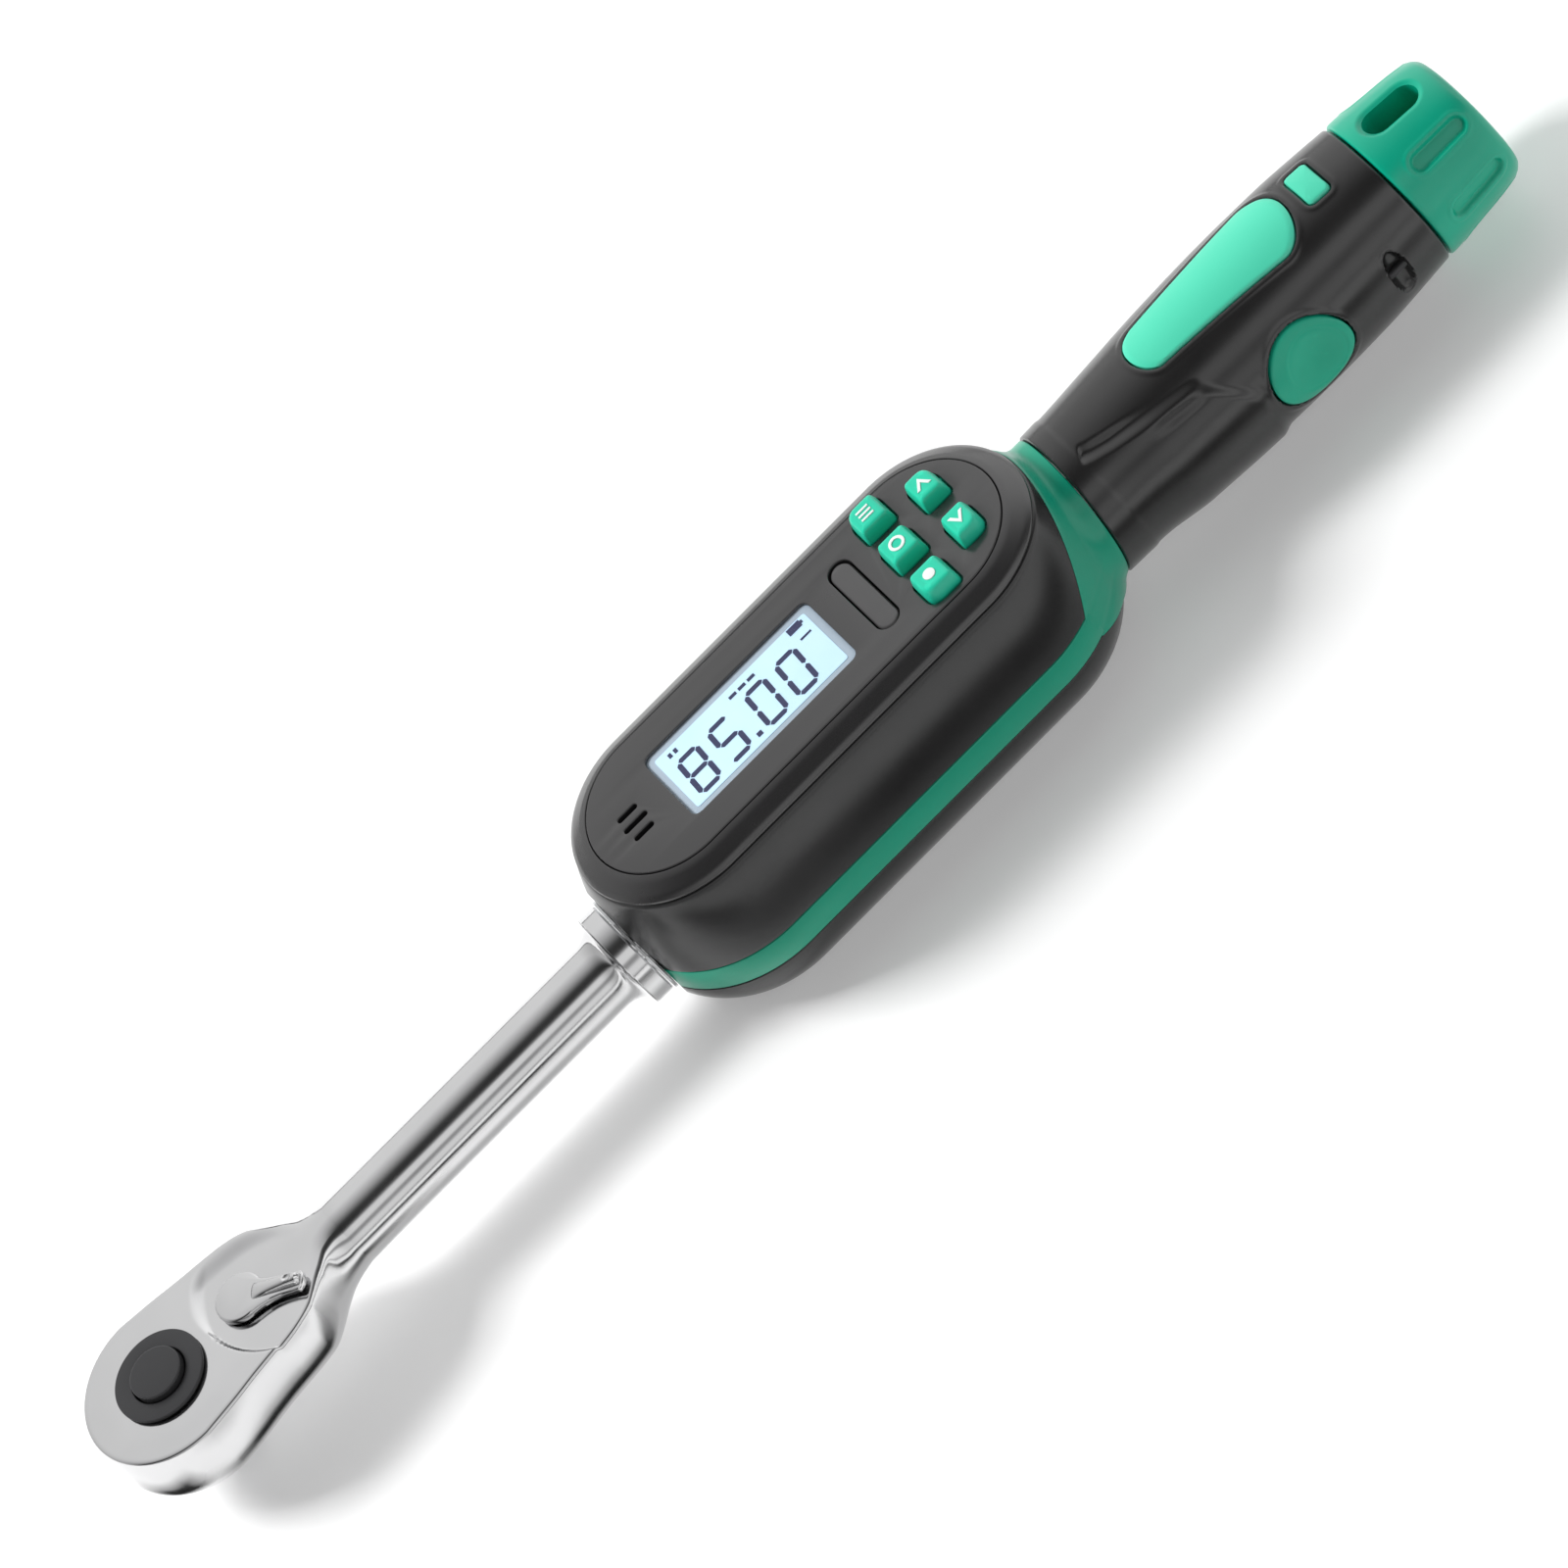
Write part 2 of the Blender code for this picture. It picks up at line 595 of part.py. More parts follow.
COLLAR_STEPS = 5
collar_rings = [[] for _ in range(COLLAR_STEPS + 1)]
inner_start, inner_end = [], []
for i in range(36):
    a = 2 * math.pi * (i + 0.5) / 36
    start_r = pod_reach(a, band_end)
    start_x = band_end(start_r * math.sin(a))
    end_x = collar_end(GRIP_START_R * math.sin(a)) - GAP / 2
    for k in range(COLLAR_STEPS + 1):
        s = k / COLLAR_STEPS
        x = start_x + (end_x - start_x) * s
        wall = pod_reach(a, lambda h: x)
        # A rounded valley where the pod's wall meets the handle's cylinder
        blend = 5.0
        d = max(blend - abs(wall - GRIP_START_R), 0.0) / blend
        r = max(wall, GRIP_START_R) + d * d * blend / 4 * (1 - s) ** 0.5
        if k == 0:
            r = start_r
        r = max(r, COLLAR_BORE + 1.2)
        collar_rings[k].append((x, r * math.cos(a), Z + r * math.sin(a)))
    inner_start.append((start_x, COLLAR_BORE * math.cos(a), Z + COLLAR_BORE * math.sin(a)))
    inner_end.append((end_x, COLLAR_BORE * math.cos(a), Z + COLLAR_BORE * math.sin(a)))
band = loft("green_band", [*collar_rings, inner_end, inner_start], GREEN, ring=True)
band_outer = [p for p in stadium(POD_X0, POD_X1, POD_R - 0.04, 12, POD_FLAT)]
band_ring = plate("band_ring", [band_outer, stadium(POD_X0, POD_X1, POD_R - 2.5, 12, POD_FLAT + 2.5)], Z + BAND_BOTTOM, Z + BAND_TOP)
cut(band_ring, box("band_ring_end", (BAND_END + 1.2, -40, 0), (260, 40, 40)))
cut(band, band_ring, how="UNION")
cut(band, neck)

# ---------------------------------------------------------------- pod face

KEYS = {
    "key_left": (208.7, 11.6, 3.9, 4.0, (1, 0, 0, 0)),
    "key_middle": (208.7, 0.0, 3.9, 4.0, (0, 0, 0, 0)),
    "key_right": (208.7, -11.6, 3.9, 4.0, (0, 0, 0, 1)),
    "key_up": (220.0, 6.6, 3.35, 4.0, (0, 1, 0, 0)),
    "key_down": (220.0, -6.6, 3.35, 4.0, (0, 0, 1, 0)),
}


def key_outline(spec, grow):
    """A rectangle whose marked corners are cut back, in the order +Y-X, +Y+X, -Y+X, -Y-X."""
    x, y, hx, hy, cuts = spec
    hx, hy = hx + grow, hy + grow
    points = []
    for cut_back, (sx, sy) in zip(cuts, ((-1, 1), (1, 1), (1, -1), (-1, -1))):
        c = 2.4 if cut_back else 0.9
        first, second = (x + sx * (hx - c), y + sy * hy), (x + sx * hx, y + sy * (hy - c))
        points += [second, first] if sx * sy < 0 else [first, second]
    return points


window = [(146.0, -8.6), (147.4, -10.0), (187.6, -10.0), (189.0, -8.6), (189.0, 8.6), (187.6, 10.0), (147.4, 10.0), (146.0, 8.6)]
pill = [(x, y) for x, y in ((197.6 + 2.8 * math.cos(a), (8.3 if math.sin(a) >= 0 else -8.3) + 2.8 * math.sin(a)) for a in np.radians(np.arange(15, 375, 30)))]


def slot_outline(x0, x1, y, half):
    return [(x0, y - half), (x1, y - half), (x1 + half * 0.8, y), (x1, y + half), (x0, y + half), (x0 - half * 0.8, y)]


bezel_rings = [(20.0, 22.2), (20.4, 21.0), (21.2, 19.6), (22.6, 18.3), (BEZEL_TOP, BEZEL_R)]
bezel = loft("display_bezel", [level(stadium(POD_X0, POD_X1, r, 10, None if r < 21.2 else POD_FLAT + 1.6), Z + h) for h, r in bezel_rings], BLACK)
cut(
    bezel,
    plate("bezel_hollow", [stadium(POD_X0, POD_X1, 17.3, 9)], Z + 18.0, Z + 21.6),
    plate("window_opening", [window], Z + 21.0, Z + 25.0),
    plate("light_opening", [pill], Z + 21.0, Z + 25.0),
    *[plate(f"vent_{i}", [slot_outline(135.2 - grow, 139.2 + grow, (i - 1) * 3.2, 0.62)], Z + 21.0, Z + 25.0) for i, grow in enumerate((0.0, 0.5, 0.0))],
    *[plate(f"{name}_opening", [key_outline(spec, 0.0)], Z + 21.0, Z + 25.0) for name, spec in KEYS.items()],
)


def inset_window(by):
    return [(167.5 + (x - 167.5) * (1 - by / 21.5), y * (1 - by / 10.0)) for x, y in window]


plate("display_window", [inset_window(GAP)], Z + 22.0, Z + 23.0, GLASS)
box("lcd_panel", (144.0, -12.0, Z + 20.2), (191.0, 12.0, Z + 21.3), WHITE)
box("backlight", (144.5, -11.6, Z + 17.4), (190.5, 11.6, Z + 19.9), WHITE)
plate("led_light_bar", [[(197.6 + (x - 197.6) * 0.88, y * 0.972) for x, y in pill]], Z + 19.6, Z + 22.5, GLASS)
board_outline = [(130.0, -9.0), (136.0, -15.3), (222.0, -15.3), (222.0, 15.3), (136.0, 15.3), (130.0, 9.0)]
plate("circuit_board", [board_outline], Z + 13.2, Z + 14.8, BOARD)
box("processor_chip", (170.0, -6.0, Z + 11.6), (182.0, 6.0, Z + 12.9), BLACK)
rod("buzzer", 4.4, 15.1, 20.6, (137.2, 0, Z), steps=20, finish=BLACK)
plate("keypad_membrane", [[(202.5, -15.2), (217.0, -15.2), (223.5, -11.5), (227.0, -6.0), (227.0, 6.0), (223.5, 11.5), (217.0, 15.2), (202.5, 15.2)]], Z + 17.0, Z + 18.4, RUBBER)
for name, spec in KEYS.items():
    rings = [(19.8, 0.55), (21.2, 0.55), (21.2, -0.3), (23.4, -0.3), (26.0, -0.95), (26.6, -1.5)]
    loft(name, [level(key_outline(spec, grow), Z + h) for h, grow in rings], MINT)

# ---------------------------------------------------------------- load path inside

sleeve("neck_washer", 11.2, 7.0, 120.5, 121.0, (0, 0, Z), "X", 24, STEEL)
beam = box("torque_beam", (124.6, -5.5, Z - 6.0), (227.0, 5.5, Z + 6.0), STEEL)
cut(beam, rod("beam_plug", 10.5, 226.0, 252.0, (0, 0, Z), "X", 24), how="UNION")
cut(
    beam,
    rod("beam_socket", 4.5, 120.0, 149.0, (0, 0, Z), "X", 14),
    rod("beam_pin_hole", 1.8, -12.0, 12.0, (136.0, 0, Z), "Y", 10),
    rod("plug_pin_hole", 2.3, -14.0, 14.0, (245.0, 0, Z), "Y", 12),
    box("gauge_seat_left", (174.0, 4.0, Z - 9.0), (186.0, 9.0, Z + 9.0)),
    box("gauge_seat_right", (174.0, -9.0, Z - 9.0), (186.0, -4.0, Z + 9.0)),
    box("lead_slot", (222.0, -2.8, Z + 6.9), (256.0, 2.8, Z + 13.0)),
)
rod("shank_pin", 1.5, -5.3, 5.3, (136.0, 0, Z), "Y", 12, STEEL)
box("strain_gauge_left", (176.0, 4.3, Z - 2.5), (184.0, 4.8, Z + 2.5), BRASS)
box("strain_gauge_right", (176.0, -4.8, Z - 2.5), (184.0, -4.3, Z + 2.5), BRASS)
for side, name, colour in ((1.45, "battery_lead_red", ((0.5, 0.02, 0.02), 0.45)), (-1.45, "battery_lead_black", BLACK)):
    route = [(217.5 + 38.8 * t, side, Z + 8.6 + 3.4 * (1 - smooth(t * 3.2))) for t in np.linspace(0, 1, 14)]
    wire(name, route, 0.75, colour)

# ---------------------------------------------------------------- handle

tube = sleeve("handle_tube", TUBE_R, TUBE_BORE, 228.0, 321.0, (0, 0, Z), "X", 32, STEEL)
pin_way = rod("tube_pin_hole", 2.3, -16.0, 16.0, (245.0, 0, Z), "Y", 12)
cut(tube, pin_way)
rod("cross_pin", 2.0, -12.6, 12.6, (245.0, 0, Z), "Y", 12, STEEL)


def grip_radius(x):
    """The sleeve's swell, eased between its stations."""
    k = max(i for i, start in enumerate(GRIP_X[:-1]) if x >= start)
    t = (x - GRIP_X[k]) / (GRIP_X[k + 1] - GRIP_X[k])

    def slope(i):
        if i in (0, len(GRIP_X) - 1):
            return 0.0
        return (GRIP_R[i + 1] - GRIP_R[i - 1]) / (GRIP_X[i + 1] - GRIP_X[i - 1])

    long = GRIP_X[k + 1] - GRIP_X[k]
    return (
        (2 * t**3 - 3 * t**2 + 1) * GRIP_R[k]
        + (t**3 - 2 * t**2 + t) * long * slope(k)
        + (3 * t**2 - 2 * t**3) * GRIP_R[k + 1]
        + (t**3 - t**2) * long * slope(k + 1)
    )


grip_stations = [232.0, 244.0] + [float(x) for x in np.linspace(254.0, GRIP_END, 7)]
sleeve_profile = [(grip_radius(x), x) for x in grip_stations] + [(TUBE_R + GAP, GRIP_END), (TUBE_R + GAP, 232.0)]
grip = turned("grip_sleeve", sleeve_profile[::-1], (0, 0, Z), "X", 28, RUBBER)


def skin(name, grow):
    """The sleeve's outer surface as a solid, grown or sunk a little."""
    profile = [(0, 250.0)] + [(grip_radius(x) + grow, x) for x in grip_stations[2:]] + [(0, GRIP_END)]
    return turned(name, profile[::-1], (0, 0, Z), "X", 40)


def long_inlay(grow):
    rear = [(298.0 + (6.9 + grow) * math.sin(a), -(8.6 + grow) * math.cos(a)) for a in np.linspace(0, math.pi, 11)]
    front = [(268.4 - (4.6 + grow) * math.sin(a), (6.1 + grow) * math.cos(a)) for a in np.linspace(0, math.pi, 9)]
    return rear + front


def short_inlay(grow):
    x0, x1, w, c = 308.2 - grow, 313.6 + grow, 4.9 + grow, 1.0
    return [(x0 + c, -w), (x1 - c, -w), (x1, -w + c), (x1, w - c), (x1 - c, w), (x0 + c, w), (x0, w - c), (x0, -w + c)]


tilt_block = box("collar_side", (-20, -40, -40), (0, 40, 40))
tilt_block.location = Vector((COLLAR_END + GAP / 2, 0, Z)) * MM
tilt_block.rotation_euler = (0, math.atan(END_TILT), 0)
cut(
    grip,
    tilt_block,
    plate("long_inlay_seat", [long_inlay(GAP)], Z + 14.7, Z + 24.0),
    plate("short_inlay_seat", [short_inlay(GAP)], Z + 14.7, Z + 24.0),
    rod("near_inlay_seat", 9.7, -24.0, -14.9, (288.3, 0, Z), "Y", 28),
    rod("far_inlay_seat", 9.7, 14.9, 24.0, (288.3, 0, Z), "Y", 28),
    box("strap_slot", (309.5, -22.0, Z - 5.9), (313.9, -14.4, Z + 5.9)),
    rod("strap_bar_hole", 1.1, 307.6, 315.8, (0, -15.9, Z), "X", 10),
)
rod("strap_bar", 0.8, 307.9, 315.5, (0, -15.9, Z), "X", 10, STEEL)
shape = plate("grip_inlay_long", [long_inlay(0.0)], Z + 15.0, Z + 24.0, MINT)
cut(shape, skin("long_inlay_skin", 0.25), how="INTERSECT")
shape = plate("grip_inlay_short", [short_inlay(0.0)], Z + 15.0, Z + 24.0, MINT)
cut(shape, skin("short_inlay_skin", 0.25), how="INTERSECT")
for name, low, high in (("grip_inlay_near", -24.0, -15.2), ("grip_inlay_far", 15.2, 24.0)):
    shape = rod(name, 9.4, low, high, (288.3, 0, Z), "Y", 28, MINT)
    cut(shape, skin(name + "_skin", -0.1), how="INTERSECT")

contact = rod("front_contact", 10.5, 257.2, 259.0, (0, 0, Z), "X", 24, BOARD)
pads = [rod(f"contact_button_{side}", 2.4, 258.5, 260.2, (0, side * 5.4, Z), "X", 10) for side in (-1, 1)]
cut(contact, *pads, how="UNION")
for index, side in ((1, -1), (2, 1)):
    turned(
        f"battery_cell_{index}",
        [(0, 307.0), (2.0, 307.0), (2.0, 306.0), (4.6, 306.0), (CELL_R, 305.4), (CELL_R, 262.0), (4.6, 261.4), (0, 261.4)][::-1],
        (0, side * 5.4, Z),
        "X",
        20,
        ((0.05, 0.05, 0.06), 0.3, 0.5) if side < 0 else ((0.6, 0.35, 0.05), 0.3, 0.5),
    )

# ---------------------------------------------------------------- screw cap, turning on the long axis

cap_outer = [(CAP_R - 0.3, CAP_X0), (CAP_R, CAP_X0 + 0.6), (16.3, 331.0), (15.6, 338.0), (15.0, 340.6), (13.9, 342.4), (12.2, TOOL_END), (0, TOOL_END)]
cap_inner = [(0, 320.0), (7.6, 320.0), (7.6, 311.0), (10.4, 311.0), (10.4, 317.3), (9.1, 317.3), (9.1, 319.3), (10.4, 319.3), (10.4, CAP_X0)]
cap = turned("battery_cap", (cap_inner + cap_outer)[::-1], (0, 0, Z), "X", 32, GREEN)
flutes = []
for i in range(8):
    if i in (2, 6):
        continue
    a = i * math.pi / 4
    made = ball(f"flute_{i}", (332.6, 17.3 * math.cos(a), Z + 17.3 * math.sin(a)), (7.6, 2.9, 2.9), None, 8, 6, a)
    flutes.append(made)
slot = stadium(SLOT_X - SLOT_LONG / 2 + SLOT_WIDE / 2, SLOT_X + SLOT_LONG / 2 - SLOT_WIDE / 2, SLOT_WIDE / 2, 8)
cut(cap, *flutes, plate("hanging_slot", [slot], Z - 24.0, Z + 24.0))
turned(
    "cap_o_ring",
    [(9.95 + 0.68 * math.cos(a), 318.3 + 0.68 * math.sin(a)) for a in np.radians(np.arange(30, 390, 60))],
    (0, 0, Z),
    "X",
    20,
    RUBBER,
)
turned("contact_plug", [(0, 308.0), (9.6, 308.0), (9.6, 309.6), (3.0, 309.6), (3.0, 317.0), (0, 317.0)][::-1], (0, 0, Z), "X", 20, BRASS)
wire("cap_spring", coil((312.0, 0, Z), (1, 0, 0), 5.0, 7.0, 3), 0.45, STEEL)
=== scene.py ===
import json
import math

import bmesh
import bpy
import numpy as np
from mathutils import Matrix, Vector


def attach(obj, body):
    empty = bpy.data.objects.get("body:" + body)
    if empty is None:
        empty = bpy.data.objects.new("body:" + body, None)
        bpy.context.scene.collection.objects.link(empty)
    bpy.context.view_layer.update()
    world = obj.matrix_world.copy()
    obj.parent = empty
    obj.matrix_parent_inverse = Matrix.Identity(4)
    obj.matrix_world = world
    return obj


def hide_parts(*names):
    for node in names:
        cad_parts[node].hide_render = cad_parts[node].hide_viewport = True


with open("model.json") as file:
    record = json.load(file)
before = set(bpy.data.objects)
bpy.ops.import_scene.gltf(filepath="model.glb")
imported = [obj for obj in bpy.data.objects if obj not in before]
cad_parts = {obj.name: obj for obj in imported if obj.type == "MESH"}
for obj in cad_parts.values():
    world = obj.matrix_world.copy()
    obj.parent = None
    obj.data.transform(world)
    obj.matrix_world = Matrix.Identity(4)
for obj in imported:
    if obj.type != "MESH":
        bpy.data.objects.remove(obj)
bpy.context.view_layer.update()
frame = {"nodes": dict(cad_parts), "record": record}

MM = 0.001
Z = 19.5  # height of the long axis, mm
PI = math.pi
sin, cos, rad = math.sin, math.cos, math.radians

# ------------------------------------------------------------------ camera, lights, floor

scene = bpy.context.scene
TILT = rad(44.0)
toward = Vector((0, -sin(TILT), cos(TILT)))
right = Vector((1, -cos(TILT), -sin(TILT))).normalized()
up = Vector((1, cos(TILT), sin(TILT))).normalized()
aim = Vector((0.162, 0, Z * MM)) + 0.00157 * Vector((0, cos(TILT), sin(TILT)))
cam_data = bpy.data.cameras.new("camera")
cam_data.lens = 207.0
cam_data.sensor_width = 36.0
cam_data.clip_start, cam_data.clip_end = 0.1, 20.0
camera = bpy.data.objects.new("camera", cam_data)
scene.collection.objects.link(camera)
m = Matrix((right, up, toward)).transposed().to_4x4()
m.translation = aim + toward * 1.704
camera.matrix_world = m
scene.camera = camera


def area(name, place, look, size, power, colour=(1, 1, 1), shape="RECTANGLE"):
    data = bpy.data.lights.new(name, "AREA")
    data.shape = shape
    data.size, data.size_y = size
    data.energy = power
    data.color = colour
    made = bpy.data.objects.new(name, data)
    made.location = place
    made.rotation_euler = (Vector(look) - Vector(place)).to_track_quat("-Z", "Y").to_euler()
    scene.collection.objects.link(made)
    made.visible_glossy = False
    return made


CENTRE = (0.16, 0, 0.02)
area("key_softbox", (-1.2, 1.1, 1.75), CENTRE, (0.85, 0.85), 66)
area("rim_strip", (0.35, 1.2, 0.35), CENTRE, (1.4, 0.3), 2)

world = bpy.data.worlds.new("studio")
scene.world = world
world.use_nodes = True
nt = world.node_tree
nt.nodes.clear()
out = nt.nodes.new("ShaderNodeOutputWorld")
bg = nt.nodes.new("ShaderNodeBackground")
coord = nt.nodes.new("ShaderNodeTexCoord")
sep = nt.nodes.new("ShaderNodeSeparateXYZ")
back_way = nt.nodes.new("ShaderNodeMath")
back_way.operation = "MULTIPLY"
back_way.inputs[1].default_value = -1.0
lean = nt.nodes.new("ShaderNodeMath")
lean.operation = "ARCTAN2"
span = nt.nodes.new("ShaderNodeMapRange")
span.inputs["From Min"].default_value = -PI
span.inputs["From Max"].default_value = PI
ramp = nt.nodes.new("ShaderNodeValToRGB")
ramp.color_ramp.interpolation = "B_SPLINE"
# Degrees from straight up towards -Y, and how bright the studio is there
STUDIO = ((-180, 0.3), (-97, 0.3), (-90, 0.1), (-86, 0.2), (-81, 2.6), (-72, 3.0), (-64, 1.5), (-44, 1.08), (-26, 0.85), (-8, 0.5), (4, 0.22), (13, 0.04), (27, 0.03), (36, 0.12), (42, 1.9), (50, 1.9), (57, 0.3), (66, 0.32), (74, 1.3), (83, 1.3), (90, 0.12), (97, 0.25), (180, 0.3))
while len(ramp.color_ramp.elements) > 1:
    ramp.color_ramp.elements.remove(ramp.color_ramp.elements[0])
for k, (degrees, value) in enumerate(STUDIO):
    e = ramp.color_ramp.elements[0] if k == 0 else ramp.color_ramp.elements.new((degrees + 180) / 360)
    e.position = (degrees + 180) / 360
    e.color = (value, value, value * 1.005, 1)
nt.links.new(coord.outputs["Generated"], sep.inputs[0])
nt.links.new(sep.outputs["Y"], back_way.inputs[0])
nt.links.new(back_way.outputs[0], lean.inputs[0])
nt.links.new(sep.outputs["Z"], lean.inputs[1])
nt.links.new(lean.outputs[0], span.inputs["Value"])
nt.links.new(span.outputs["Result"], ramp.inputs["Fac"])
sides = nt.nodes.new("ShaderNodeMapRange")
sides.inputs["From Min"].default_value = -0.75
sides.inputs["From Max"].default_value = 0.75
sides.inputs["To Min"].default_value = 0.62
sides.inputs["To Max"].default_value = 1.38
nt.links.new(sep.outputs["X"], sides.inputs["Value"])
tinted = nt.nodes.new("ShaderNodeVectorMath")
tinted.operation = "SCALE"
nt.links.new(ramp.outputs["Color"], tinted.inputs[0])
nt.links.new(sides.outputs["Result"], tinted.inputs["Scale"])
nt.links.new(tinted.outputs["Vector"], bg.inputs["Color"])
bg.inputs["Strength"].default_value = 0.86
nt.links.new(bg.outputs[0], out.inputs[0])
scene.view_settings.view_transform = "Standard"
scene.view_settings.look = "None"
scene.view_settings.exposure = 0.0

# ------------------------------------------------------------------ materials


def principled(name, colour, roughness, metallic=0.0, coat=0.0, specular=0.5, alpha=1.0):
    made = bpy.data.materials.new(name)
    made.use_nodes = True
    shader = made.node_tree.nodes["Principled BSDF"]
    shader.inputs["Base Color"].default_value = (*colour, 1)
    shader.inputs["Roughness"].default_value = roughness
    shader.inputs["Metallic"].default_value = metallic
    shader.inputs["Coat Weight"].default_value = coat
    shader.inputs["Coat Roughness"].default_value = 0.15
    shader.inputs["Specular IOR Level"].default_value = specular
    shader.inputs["Alpha"].default_value = alpha
    return made, shader


def noise(tree, coords, scale, detail=3.0, stretch=(1, 1, 1)):
    tex = tree.nodes.new("ShaderNodeTexNoise")
    tex.inputs["Scale"].default_value = scale
    tex.inputs["Detail"].default_value = detail
    if stretch != (1, 1, 1):
        mapping = tree.nodes.new("ShaderNodeMapping")
        mapping.inputs["Scale"].default_value = stretch
        tree.links.new(coords, mapping.inputs["Vector"])
        coords = mapping.outputs["Vector"]
    tree.links.new(coords, tex.inputs["Vector"])
    return tex.outputs["Fac"]


def spread(tree, value, low, high, start=0.3, end=0.7):
    node = tree.nodes.new("ShaderNodeMapRange")
    node.inputs["From Min"].default_value = start
    node.inputs["From Max"].default_value = end
    node.inputs["To Min"].default_value = low
    node.inputs["To Max"].default_value = high
    tree.links.new(value, node.inputs["Value"])
    return node.outputs["Result"]


def mixed(tree, factor, a, b):
    node = tree.nodes.new("ShaderNodeMix")
    node.data_type = "RGBA"
    for socket, value in ((6, a), (7, b)):
        if isinstance(value, tuple):
            node.inputs[socket].default_value = (*value, 1)
        else:
            tree.links.new(value, node.inputs[socket])
    tree.links.new(factor, node.inputs[0])
    return node.outputs[2]


def bumped(tree, shader, height, strength, distance, normal=None):
    node = tree.nodes.new("ShaderNodeBump")
    node.inputs["Strength"].default_value = strength
    node.inputs["Distance"].default_value = distance
    tree.links.new(height, node.inputs["Height"])
    if normal is not None:
        tree.links.new(normal, node.inputs["Normal"])
    tree.links.new(node.outputs["Normal"], shader.inputs["Normal"])
    return node.outputs["Normal"]


def object_coords(tree):
    return tree.nodes.new("ShaderNodeTexCoord").outputs["Object"]


def worn_edges(tree, low=0.52, high=0.62):
    geometry = tree.nodes.new("ShaderNodeNewGeometry")
    return spread(tree, geometry.outputs["Pointiness"], 0.0, 1.0, low, high)


def plastic(name, colour, dark, roughness, grain=5200.0, grain_strength=0.12, coat=0.0, wear=0.25, specular=0.5, metallic=0.0, ior=1.5):
    """Moulded plastic or rubber: fine grain, patchy gloss from handling, slightly rubbed edges."""
    made, shader = principled(name, colour, roughness, metallic, coat, specular)
    shader.inputs["IOR"].default_value = ior
    tree = made.node_tree
    coords = object_coords(tree)
    broad = noise(tree, coords, 38.0, 4.0)
    fine = noise(tree, coords, grain, 2.0)
    base = mixed(tree, spread(tree, broad, 0.0, 1.0), dark, colour)
    light = tuple(min(c * 1.6 + 0.01, 1.0) for c in colour)
    rub = tree.nodes.new("ShaderNodeMath")
    rub.operation = "MULTIPLY"
    rub.inputs[1].default_value = wear
    tree.links.new(worn_edges(tree), rub.inputs[0])
    tree.links.new(mixed(tree, rub.outputs[0], base, light), shader.inputs["Base Color"])
    tree.links.new(spread(tree, noise(tree, coords, 90.0, 5.0), roughness - 0.025, roughness + 0.03), shader.inputs["Roughness"])
    bumped(tree, shader, fine, grain_strength, 0.00004)
    return made


def metal(name, colour, roughness, brushed=None, scratch=0.25, spread_by=0.04, wave=0.0):
    """Machined or plated metal with faint hairlines, handling haze and a little wear."""
    made, shader = principled(name, colour, roughness, 1.0)
    tree = made.node_tree
    coords = object_coords(tree)
    haze = noise(tree, coords, 60.0, 5.0)
    lines = noise(tree, coords, 2600.0 if brushed is None else 1800.0, 2.0, brushed or (1.0, 0.06, 0.4))
    total = tree.nodes.new("ShaderNodeMath")
    total.operation = "MULTIPLY_ADD"
    total.inputs[1].default_value = scratch
    tree.links.new(spread(tree, lines, 0.0, spread_by), total.inputs[0])
    tree.links.new(spread(tree, haze, roughness * 0.75, roughness * 1.3), total.inputs[2])
    tree.links.new(total.outputs[0], shader.inputs["Roughness"])
    tint = tuple(c * 0.93 for c in colour)
    tree.links.new(mixed(tree, spread(tree, haze, 0.0, 1.0), tint, colour), shader.inputs["Base Color"])
    bumped(tree, shader, lines, 0.02 if brushed is None else 0.1, 0.00003)
    return made


chrome = metal("polished_chrome_plate", (0.74, 0.74, 0.745), 0.13)
steel = metal("machined_steel", (0.60, 0.61, 0.62), 0.26, (1.0, 1.0, 0.05))
dark_steel = plastic("blackened_steel", (0.045, 0.045, 0.047), (0.035, 0.035, 0.037), 0.42, 4200.0, 0.1, wear=0.35, metallic=0.35)
housing = plastic("satin_black_housing", (0.017, 0.017, 0.0172), (0.014, 0.014, 0.0142), 0.24, 6000.0, 0.015, coat=0.1, specular=0.62)
facia = plastic("satin_grey_facia", (0.021, 0.0205, 0.021), (0.018, 0.0175, 0.018), 0.25, 6500.0, 0.012, coat=0.1, specular=1.0)
rubber = plastic("soft_black_grip", (0.014, 0.0136, 0.0136), (0.011, 0.0107, 0.0107), 0.24, 3800.0, 0.02, coat=0.08, specular=0.8)
seal = plastic("black_seal_rubber", (0.02, 0.02, 0.02), (0.015, 0.015, 0.015), 0.6)
green = plastic("deep_green_shell", (0.0, 0.31, 0.19), (0.0, 0.28, 0.17), 0.3, 5000.0, 0.05, coat=0.05, wear=0.12)
cap_green = plastic("screw_cap_green", (0.0, 0.40, 0.25), (0.0, 0.37, 0.23), 0.3, 4600.0, 0.06, coat=0.05, wear=0.12)
mint = plastic("mint_grip_inlay", (0.075, 0.66, 0.44), (0.065, 0.62, 0.41), 0.36, 4200.0, 0.09, wear=0.1)
mint_deep = plastic("green_side_inlay", (0.0, 0.39, 0.24), (0.0, 0.35, 0.22), 0.38, 4200.0, 0.09, wear=0.1)
key_green = plastic("silicone_key_green", (0.014, 0.56, 0.36), (0.012, 0.52, 0.335), 0.36, 4200.0, 0.06, wear=0.25)
ink_white = plastic("printed_white_sign", (0.80, 0.84, 0.82), (0.74, 0.78, 0.76), 0.5, 3000.0, 0.04, wear=0.0)
